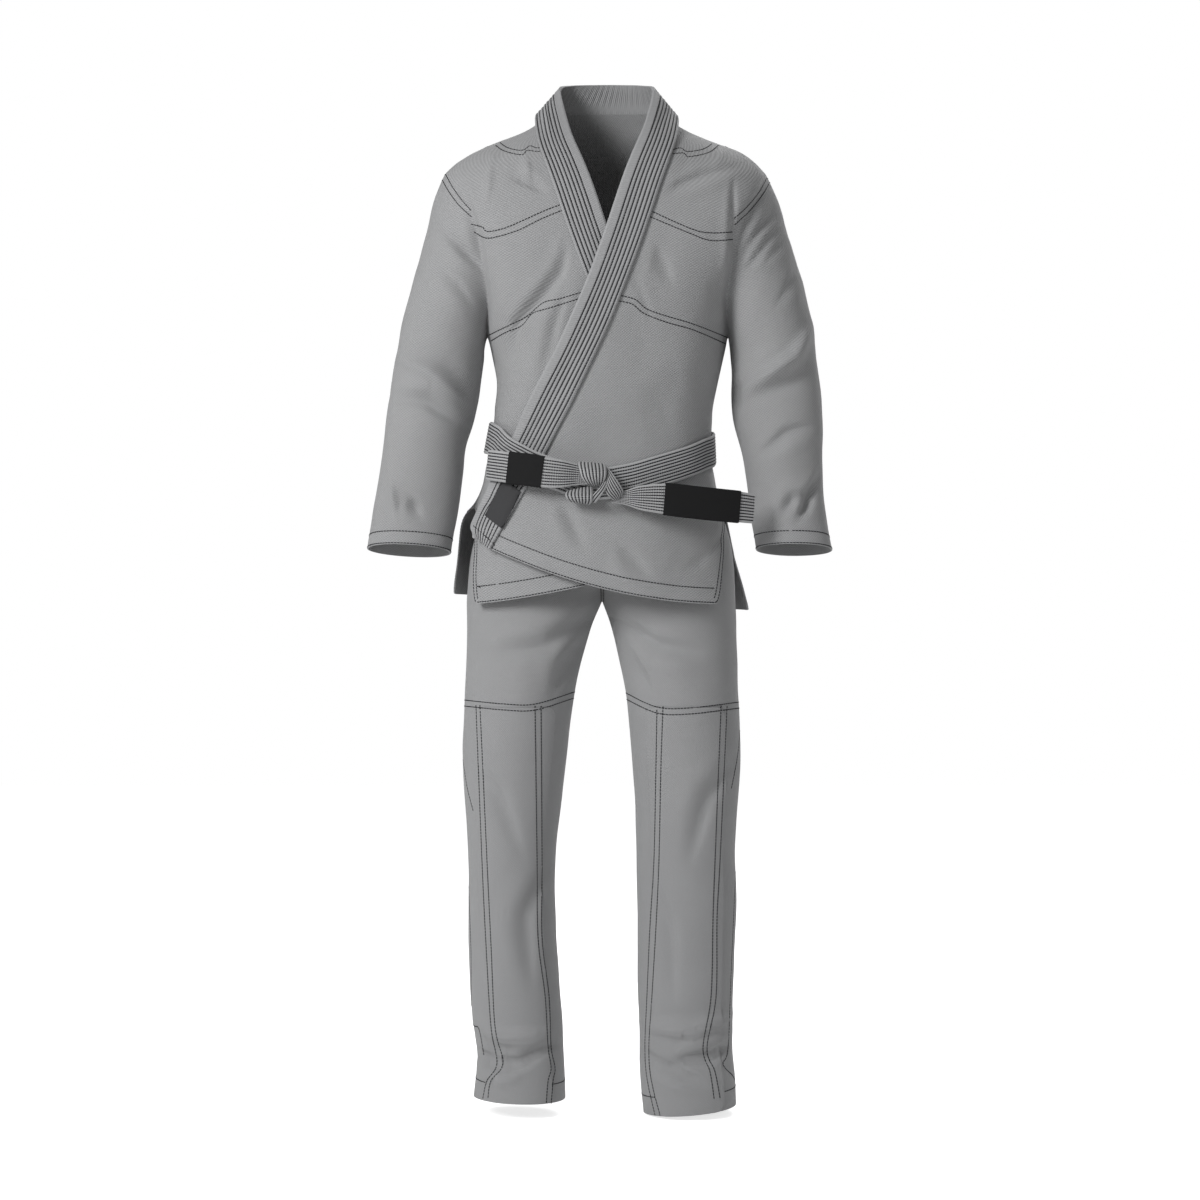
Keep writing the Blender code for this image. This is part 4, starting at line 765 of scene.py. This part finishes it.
print("stage jacket")
jacket = {
    "pieces": ("jacket_front_left", "jacket_front_right", "jacket_back", "sleeve_left", "sleeve_right"),
    "creases": (
        ("front", ((-0.046, -0.178), (-0.063, -0.227), (-0.086, -0.257), (-0.122, -0.295),
                   (-0.131, -0.335)), 0.0085, -0.0036),
        ("front", ((-0.058, -0.262), (-0.069, -0.295), (-0.075, -0.325), (-0.088, -0.362)), 0.0085, -0.0028),
        ("front", ((-0.159, -0.06), (-0.165, -0.121)), 0.008, 0.0018),
        ("front", ((-0.111, -0.058), (-0.106, -0.098)), 0.008, 0.0016),
        ("front", ((-0.191, -0.106), (-0.188, -0.136), (-0.171, -0.197)), 0.006, -0.0024),
        ("front", ((0.178, -0.095), (0.178, -0.193), (0.17, -0.246)), 0.006, -0.0028),
        ("front", ((0.07, -0.19), (0.09, -0.237)), 0.01, -0.0018),
        ("front", ((0.034, -0.222), (0.05, -0.262), (0.064, -0.298)), 0.0095, -0.0024),
        ("front", ((0.03, -0.268), (0.07, -0.338)), 0.011, -0.0055),
        ("front", ((0.064, -0.382), (0.098, -0.45)), 0.009, -0.005),
        ("front", ((0.108, -0.42), (0.114, -0.46)), 0.008, 0.004),
        ("front", ((0.1795, -0.193), (0.196, -0.146), (0.2153, -0.106)), 0.0062, -0.003),
        ("front", ((0.1851, -0.199), (0.212, -0.158), (0.2416, -0.126)), 0.0068, -0.0031),
        ("front", ((0.1982, -0.21), (0.226, -0.17), (0.251, -0.142)), 0.0068, -0.0028),
        ("front", ((0.22, -0.205), (0.242, -0.178), (0.256, -0.155)), 0.006, -0.0022),
        ("front", ((0.238, -0.262), (0.262, -0.222), (0.276, -0.19)), 0.0075, -0.002),
        ("front", ((0.196, -0.381), (0.259, -0.334), (0.286, -0.29)), 0.012, 0.007),
        ("front", ((0.184, -0.364), (0.185, -0.404)), 0.008, -0.0055),
        ("front", ((0.297, -0.504), (0.29, -0.524), (0.28, -0.547), (0.269, -0.56)), 0.008, -0.007),
        ("front", ((0.283, -0.521), (0.262, -0.535), (0.246, -0.552)), 0.008, -0.0045),
        ("front", ((0.215, -0.47), (0.25, -0.44), (0.29, -0.428)), 0.01, -0.004),
        ("front", ((-0.2421, -0.14), (-0.205, -0.178), (-0.1764, -0.206)), 0.006, -0.0026),
        ("front", ((-0.218, -0.168), (-0.195, -0.192), (-0.1725, -0.214)), 0.0062, -0.0024),
        ("front", ((-0.235, -0.205), (-0.205, -0.236), (-0.188, -0.262)), 0.008, -0.002),
        ("front", ((-0.2, -0.395), (-0.245, -0.36), (-0.29, -0.34)), 0.012, 0.0055),
        ("front", ((-0.205, -0.43), (-0.25, -0.4), (-0.3, -0.39)), 0.011, -0.005),
        ("front", ((-0.3, -0.511), (-0.292, -0.555)), 0.008, 0.004),
        ("front", ((-0.274, -0.532), (-0.258, -0.555)), 0.008, -0.0045),
        ("front", ((0.161, -0.588), (0.129, -0.62), (0.096, -0.633)), 0.011, -0.006),
        ("front", ((0.02, -0.6), (0.06, -0.64)), 0.011, -0.003),
        ("front", ((-0.06, -0.54), (-0.03, -0.6)), 0.01, -0.003),
        ("front", ((0.08, -0.11), (0.13, -0.085), (0.18, -0.07)), 0.009, -0.003),
        ("front", ((-0.08, -0.11), (-0.125, -0.09)), 0.009, -0.003),
        ("back", ((-0.14, -0.09), (-0.11, -0.17), (-0.095, -0.26)), 0.014, -0.006),
        ("back", ((0.145, -0.095), (0.118, -0.18), (0.09, -0.29)), 0.013, -0.0065),
        ("back", ((-0.04, -0.08), (-0.03, -0.15)), 0.011, -0.003),
        ("back", ((-0.155, -0.3), (-0.09, -0.36), (-0.03, -0.385)), 0.012, -0.006),
        ("back", ((0.16, -0.31), (0.1, -0.355), (0.02, -0.375)), 0.011, -0.0055),
        ("back", ((-0.14, -0.4), (-0.07, -0.425)), 0.01, -0.0045),
        ("back", ((0.145, -0.395), (0.06, -0.42)), 0.01, -0.005),
        ("back", ((-0.05, -0.5), (-0.08, -0.58), (-0.085, -0.66)), 0.014, -0.006),
        ("back", ((0.06, -0.5), (0.095, -0.57), (0.11, -0.66)), 0.013, -0.0055),
        ("back", ((0.01, -0.505), (0.012, -0.6)), 0.012, 0.0035),
        ("back", ((0.19, -0.19), (0.24, -0.14)), 0.01, -0.0045),
        ("back", ((0.2, -0.33), (0.25, -0.37), (0.295, -0.375)), 0.011, -0.006),
        ("back", ((0.205, -0.385), (0.255, -0.415), (0.3, -0.41)), 0.01, -0.0045),
        ("back", ((-0.19, -0.185), (-0.238, -0.14)), 0.01, -0.0045),
        ("back", ((-0.205, -0.335), (-0.255, -0.365), (-0.3, -0.38)), 0.011, -0.0055),
        ("back", ((-0.215, -0.4), (-0.262, -0.425), (-0.305, -0.425)), 0.01, -0.005),
        ("back", ((0.255, -0.52), (0.3, -0.56)), 0.009, -0.0045),
        ("back", ((-0.262, -0.515), (-0.31, -0.545)), 0.009, -0.0045),
    ),
}
jacket["flats"] = {
    "jacket_front_left": ((0.46, 0.72), 0.175), "jacket_front_right": ((0.44, 0.71), 0.168),
    "jacket_back": ((0.6, 0.72), 0.337), "sleeve_left": ((0.42, 0.58), 0.182),
    "sleeve_right": ((0.42, 0.58), 0.185),
}
guard = treeOf(lapelPiece, beltPiece, *knotPieces)
inside = treeOf(*(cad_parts[name] for name in ("trouser_leg_left", "trouser_leg_right", "waistband")))
welded = bmesh.new()
for number, name in enumerate(jacket["pieces"]):
    shell = outerShell(name, 0.002)
    for face in shell.faces:
        face.material_index = number
    part = bpy.data.meshes.new("part")
    shell.to_mesh(part)
    shell.free()
    welded.from_mesh(part)
bmesh.ops.remove_doubles(welded, verts=welded.verts, dist=0.0009)
jacketMesh = refine(welded, 3)
wobbles = ((0.11, 0.0024), (0.045, 0.0014))
displace(jacketMesh, jacket["creases"], guard, inside, wobbles, 3.1, 2.0)
jacketPieces = {}
for number, name in enumerate(jacket["pieces"]):
    own = jacketMesh.copy()
    bmesh.ops.delete(own, geom=[f for f in own.faces if f.material_index != number], context="FACES")
    for face in own.faces:
        face.material_index = 0
    piece = meshObject(own, name.replace("jacket_", "jacket.").replace("sleeve_", "sleeve."), jacketCloth)
    jacketPieces[name] = piece
    dress(piece, "jacket_cloth", name)
    if name.startswith("sleeve"):
        way = 1 if name.endswith("left") else -1
        wrapUv(piece, (0.21 * way, 0, -0.2), (0.055 * way, -0.03, -0.4), (0, -1, 0), 0.06)
    else:
        wrapUv(piece, (0, 0, 0), (0, 0, 1), (0, 1 if name == "jacket_back" else -1, 0), 0.15)
jacketMesh.free()
jacketTree = treeOf(*jacketPieces.values())

# seam lines, double rows, in the photo's pixels
jacket["frontLines"] = (
    ((471, 224), (482, 227), (488, 231.5), (505, 228), (525, 219.5), (545, 210.5), (562, 204)),
    ((474, 232), (486, 238), (500, 236), (520, 229.5), (540, 219.5), (565, 209)),
    ((650, 210.5), (691.3, 228.8), (710.2, 232.8), (733, 232)),
    ((650, 216.7), (688.6, 232.8), (710, 240.3), (732.5, 239.5)),
    ((493.5, 134.6), (501.6, 144), (511, 148.9), (523.1, 150.2), (529.9, 145.9), (537.4, 148),
     (548, 146)),
    ((487.6, 137.3), (496.2, 145.9), (505.6, 151.5), (521.8, 154.8), (527.2, 150.5),
     (537.4, 151.5), (548, 150)),
    ((720.4, 134), (711.5, 144), (702.1, 149.4), (687.3, 151.5), (680.6, 148), (672, 150)),
    ((726.3, 136.7), (716.9, 146.7), (707.5, 152.9), (688.6, 156.7), (683.3, 153), (672, 154)),
    ((584, 291.5), (559.5, 298.7), (543.3, 302.8), (527.2, 316.2), (511, 324.3), (489, 335.1)),
    ((581, 298), (548.7, 308.2), (532.6, 313.5), (521.8, 325.6), (505.6, 332.4), (491, 341)),
    ((618, 295), (634.8, 299.3), (646.9, 309), (667.1, 316.2), (694, 324.3), (728, 337.8)),
    ((616, 300.5), (632.1, 304.1), (644.2, 313.5), (667.1, 322.4), (694, 330.2), (727, 344.5)),
    ((439.2, 173.6), (447.8, 189.8), (458.5, 204.6), (471.2, 216.7)),
    ((443.2, 169.6), (451.8, 185.7), (461.2, 199.2), (471.2, 210.5)),
    ((770.7, 168.2), (761.3, 188.4), (747.8, 205.9), (733, 219.4)),
    ((774.7, 172.3), (764, 192.4), (750.5, 209.9), (733.8, 225.5)),
)
jacket["backLines"] = (
    ((439.2, 173.6), (447.8, 189.8), (457, 206), (465, 228), (471, 258), (477, 295), (482, 328)),
    ((443.2, 169.6), (451.8, 185.7), (461.5, 203), (470, 225), (476.5, 257), (483, 295), (488, 328)),
    ((770.7, 168.2), (761.3, 188.4), (752, 205), (745, 228), (739, 258), (733, 295), (729, 330)),
    ((774.7, 172.3), (764, 192.4), (756.5, 208), (750, 230), (744.5, 259), (739, 296), (735, 330)),
    ((470, 228), (520, 222), (600, 219), (680, 222), (744, 228)),
    ((471, 235), (520, 229), (600, 226), (680, 229), (743, 235)),
    ((489, 337), (545, 326), (605, 322), (665, 326), (728, 339)),
    ((490, 343), (545, 332), (605, 328), (665, 332), (727, 345)),
)
frontEnds = [pixelStitch(jacketTree, line) for line in jacket["frontLines"]]
backEnds = [pixelStitch(jacketTree, line, fromBack=True) for line in jacket["backLines"]]
# the four armhole lines are the last of the front and the first of the back
for front, back in zip(frontEnds[-4:], backEnds):
    sideStitch(jacketTree, front[0], back[0])


def shellOf(piece):
    shell = bmesh.new()
    shell.from_mesh(piece.data)
    return shell


def atCuff(place, steep):
    return place.z < -0.5


def atHem(place, steep):
    return place.z < -0.58 and steep < 0.6


def atVent(place, steep):
    return place.z < -0.545 and steep > 0.6 and (place.x > 0.1 or place.x < -0.16)


def atShoulder(place, steep):
    return place.z > -0.055 and abs(place.x) > 0.11


for name, insets, wanted in (
    ("sleeve_left", (0.0018, 0.0185), atCuff),
    ("sleeve_right", (0.0018, 0.0185), atCuff),
    ("jacket_front_left", (0.0022, 0.022), atHem),
    ("jacket_front_right", (0.0022, 0.024), atHem),
    ("jacket_back", (0.0022, 0.022), atHem),
    ("jacket_front_left", (0.0022, 0.0085), atVent),
    ("jacket_front_right", (0.0022, 0.0085), atVent),
    ("jacket_back", (0.0022, 0.0085), atVent),
    ("jacket_back", (0.004,), atShoulder),
):
    shell = shellOf(jacketPieces[name])
    tree = BVHTree.FromBMesh(shell)
    for inset in insets:
        edgeStitch(shell, tree, inset, wanted)
    shell.free()
buildThread("jacketStitching")
for name, piece in jacketPieces.items():
    thicken(piece, 0.002)
    flat, area = jacket["flats"][name]

print("stage patch")
# corners in the photo's pixels; the plain patch bridges the lapel's ribs
lapelPatch = {"lowLeft": (484.6, 515.2), "lowRight": (502.0, 528.8), "highRight": (521.0, 492.0),
              "highLeft": (503.6, 478.4), "rows": 15, "columns": 9, "lift": 0.0022, "size": (0.031, 0.057)}
lapelTree = treeOf(lapelPiece)
spots = []
for up in np.linspace(0, 1, lapelPatch["rows"]):
    left = (1 - up) * np.array(lapelPatch["lowLeft"]) + up * np.array(lapelPatch["highLeft"])
    right = (1 - up) * np.array(lapelPatch["lowRight"]) + up * np.array(lapelPatch["highRight"])
    for across in np.linspace(0, 1, lapelPatch["columns"]):
        spots.append(lapelTree.ray_cast(eye, pixelRay(*((1 - across) * left + across * right)))[0])
spots = np.array(spots)
bend = np.stack([np.ones(len(spots)), spots[:, 0], spots[:, 2], spots[:, 0] ** 2,
                 spots[:, 0] * spots[:, 2], spots[:, 2] ** 2], axis=1)
spots[:, 1] = bend @ np.linalg.lstsq(bend, spots[:, 1], rcond=None)[0] - lapelPatch["lift"]
grid = spots.reshape(lapelPatch["rows"], lapelPatch["columns"], 3)
patch = ribbedStrip("lapelPatch", patchCloth, grid, [], lapelPatch["size"][0], 0, 0.0012, lift=0.0012)[0]
dress(patch, "dark_cloth", "lapel_patch")
pixelStitch(treeOf(patch), ((503.0, 481), (486.0, 514.2), (501.8, 526.8), (519.6, 493)))
pixelStitch(lapelTree, ((473.3, 525.6), (494.5, 544)))
buildThread("patchStitching")

print("stage trousers")
trousers = {
    "creases": (
        ("front", ((-0.193, -1.31), (-0.15, -1.322), (-0.115, -1.318)), 0.01, -0.007),
        ("front", ((-0.068, -1.3), (-0.1, -1.315), (-0.14, -1.338)), 0.009, -0.005),
        ("front", ((-0.19, -1.27), (-0.14, -1.285), (-0.07, -1.278)), 0.01, 0.0045),
        ("front", ((0.178, -1.303), (0.14, -1.318), (0.1, -1.322)), 0.01, -0.007),
        ("front", ((0.05, -1.308), (0.08, -1.325), (0.13, -1.345)), 0.009, -0.005),
        ("front", ((0.18, -1.262), (0.12, -1.28), (0.05, -1.275)), 0.01, 0.0045),
        ("front", ((-0.02, -0.7), (-0.08, -0.74), (-0.16, -0.75)), 0.013, -0.0045),
        ("front", ((0.01, -0.7), (0.07, -0.735), (0.14, -0.745)), 0.013, -0.0045),
        ("front", ((-0.03, -0.73), (-0.07, -0.8)), 0.012, -0.004),
        ("front", ((0.022, -0.73), (0.06, -0.8)), 0.012, -0.004),
        ("front", ((-0.19, -0.9), (-0.15, -0.94), (-0.12, -1.02)), 0.014, -0.0035),
        ("front", ((0.18, -0.9), (0.145, -0.95), (0.12, -1.03)), 0.014, -0.0035),
        ("front", ((-0.08, -1.05), (-0.11, -1.12), (-0.105, -1.2)), 0.014, -0.0035),
        ("front", ((0.06, -1.06), (0.09, -1.13), (0.095, -1.22)), 0.014, -0.0035),
        ("back", ((-0.03, -0.72), (-0.1, -0.76), (-0.18, -0.76)), 0.013, -0.0055),
        ("back", ((0.02, -0.72), (0.09, -0.755), (0.17, -0.755)), 0.013, -0.0055),
        ("back", ((-0.07, -0.84), (-0.13, -0.87), (-0.195, -0.86)), 0.012, -0.006),
        ("back", ((0.05, -0.835), (0.12, -0.865), (0.185, -0.855)), 0.012, -0.006),
        ("back", ((-0.08, -0.9), (-0.14, -0.92)), 0.011, -0.0045),
        ("back", ((0.06, -0.9), (0.13, -0.915)), 0.011, -0.0045),
        ("back", ((-0.09, -1.24), (-0.14, -1.29), (-0.18, -1.3)), 0.011, -0.006),
        ("back", ((0.06, -1.25), (0.12, -1.295), (0.17, -1.3)), 0.011, -0.006),
    ),
    "pixelLines": (
        ((464, 700), (505, 704), (535, 704), (574, 692)), ((464, 706), (505, 710), (535, 710), (574, 698)),
        ((626, 693), (657, 707), (689, 708), (740, 702)), ((626, 699), (657, 713), (689, 714), (740, 708)),
        ((476, 705), (482, 860), (486, 944), (491, 1026), (497, 1063), (487, 1081), (483, 1098)),
        ((480, 705), (487, 860), (491, 944), (495, 1026), (503, 1063), (491, 1081), (488, 1098)),
        ((535, 706), (537, 860), (538, 938), (545, 996), (548, 1046), (551, 1068), (548, 1081),
         (546, 1106)),
        ((541, 706), (542, 860), (542, 938), (549, 996), (551, 1046), (555, 1068), (553, 1081),
         (551, 1106)),
        ((657, 707), (656, 765), (654, 860), (650, 927), (647, 996), (645, 1046), (647, 1078),
         (655, 1115)),
        ((663, 707), (661, 765), (659, 860), (656, 927), (652, 996), (649, 1046), (651, 1078),
         (660, 1115)),
        ((721, 706), (715, 860), (713, 917), (711, 996), (703, 1048), (710, 1072), (714, 1098)),
        ((727, 706), (720, 860), (717, 917), (716, 996), (707, 1048), (715, 1072), (720, 1098)),
        ((600.7, 588), (601, 605)), ((603.8, 588), (603.8, 605)),
        ((462, 752), (467, 786), (473, 810)),
        ((468, 868), (471, 948), (472, 1018), (479, 1029), (484, 1055)),
        ((741, 708), (738, 752), (731, 790)),
        ((736, 862), (731, 974), (728, 1048), (723, 1064), (732, 1075), (737, 1083)),
    ),
    "panelLift": 0.0017,
    "keep": 0.5,
}
legPieces, panels = {}, {}
for side in ("left", "right"):
    builder = refine(outerShell(f"trouser_leg_{side}", 0.002), 3)
    seed = 7.7 if side == "left" else 1.3
    wobbles = ((0.12, 0.002), (0.05, 0.001))
    displace(builder, trousers["creases"], jacketTree, None, wobbles, seed, 2.1)
    leg = meshObject(builder, f"trouserLeg.{side}", trouserCloth)
    thinOut(leg, trousers["keep"])
    centreX = 0.11 if side == "left" else -0.125
    wrapUv(leg, (centreX, 0, 0), (0, 0, 1), (0, -1, 0), 0.08)
    legPieces[side] = leg
    dress(leg, "trouser_cloth", f"trouser_leg_{side}")
    tree = treeOf(leg)
    builder = refine(outerShell(f"knee_patch_{side}", 0.0015), 3)
    for vert in builder.verts:
        hit, normal = tree.find_nearest(vert.co)[:2]
        vert.co = hit + normal * trousers["panelLift"]
    panel = meshObject(builder, f"kneePanel.{side}", trouserCloth)
    wrapUv(panel, (centreX, 0, 0), (0, 0, 1), (0, -1, 0), 0.08)
    panels[side] = panel
    dress(panel, "trouser_cloth", f"knee_patch_{side}")
legTree = treeOf(*legPieces.values(), *panels.values())
frontEnds = [pixelStitch(legTree, line) for line in trousers["pixelLines"]]
# the first four lines go all round the legs
backEnds = [pixelStitch(legTree, line, fromBack=True) for line in trousers["pixelLines"][:4]]
for front, back in zip(frontEnds, backEnds):
    for end in (0, 1):
        sideStitch(legTree, front[end], back[end])
for side, piece in legPieces.items():
    shell = shellOf(piece)
    edgeStitch(shell, legTree, 0.026, lambda place, steep: place.z < -1.3)
    shell.free()
buildThread("trouserStitching")
for side in legPieces:
    thicken(legPieces[side], 0.002)
    thicken(panels[side], 0.0015)
band = meshObject(outerShell("waistband", 0.002), "trouserWaistband", trouserCloth)
wrapUv(band, (0, 0, 0), (0, 0, 1), (0, -1, 0), 0.15)
thicken(band, 0.002)
dress(band, "trouser_cloth", "waistband")

print("stage floor and light")
bpy.ops.mesh.primitive_plane_add(size=14, location=(0, 0, 0))
floor = bpy.context.active_object
floor.name = "floor"
for vert in floor.data.vertices:
    vert.co.z = cadBox[0][2] - 0.002
floorMaterial, _, floorShader = newMaterial("pale floor", (0.85, 0.85, 0.85), 0.9, 0)
floorShader.inputs["Emission Color"].default_value = (1, 1, 1, 1)
floor.data.materials.append(floorMaterial)
# the floor is bright for the camera only, so it throws no light up the legs
floorTree = floorMaterial.node_tree
floorSight = addNode(floorTree, "ShaderNodeLightPath")
glow = addNode(floorTree, "ShaderNodeMath")
glow.operation = "MULTIPLY"
glow.inputs[1].default_value = 0.74
floorTree.links.new(floorSight.outputs["Is Camera Ray"], glow.inputs[0])
floorTree.links.new(glow.outputs[0], floorShader.inputs["Emission Strength"])
scene.view_settings.view_transform = "Standard"
world = bpy.data.worlds.new("studio")
scene.world = world
world.use_nodes = True
studio = world.node_tree
air = studio.nodes["Background"]
air.inputs["Color"].default_value = (1, 1, 1, 1)
air.inputs["Strength"].default_value = 0.34
backdrop = addNode(studio, "ShaderNodeBackground")
backdrop.inputs["Color"].default_value = (1, 1, 1, 1)
backdrop.inputs["Strength"].default_value = 1.0
sight = addNode(studio, "ShaderNodeLightPath")
mix = addNode(studio, "ShaderNodeMixShader")
studio.links.new(sight.outputs["Is Camera Ray"], mix.inputs[0])
studio.links.new(air.outputs[0], mix.inputs[1])
studio.links.new(backdrop.outputs[0], mix.inputs[2])
studio.links.new(mix.outputs[0], studio.nodes["World Output"].inputs["Surface"])


def softLight(name, place, target, size, power):
    data = bpy.data.lights.new(name, "AREA")
    data.shape = "RECTANGLE"
    data.size, data.size_y = size
    data.energy = power
    lamp = bpy.data.objects.new(name, data)
    lamp.location = place
    lamp.rotation_euler = (Vector(target) - Vector(place)).to_track_quat("-Z", "Y").to_euler()
    scene.collection.objects.link(lamp)


softLight("key", (-2.3, -2.7, 1.1), (0, 0, -0.75), (1.1, 1.5), 112)
softLight("fill", (2.6, -2.4, 0.0), (0, 0, -0.7), (1.6, 2.0), 2)
softLight("rim", (1.2, 2.6, 1.2), (0, 0, -0.6), (1.6, 1.4), 60)
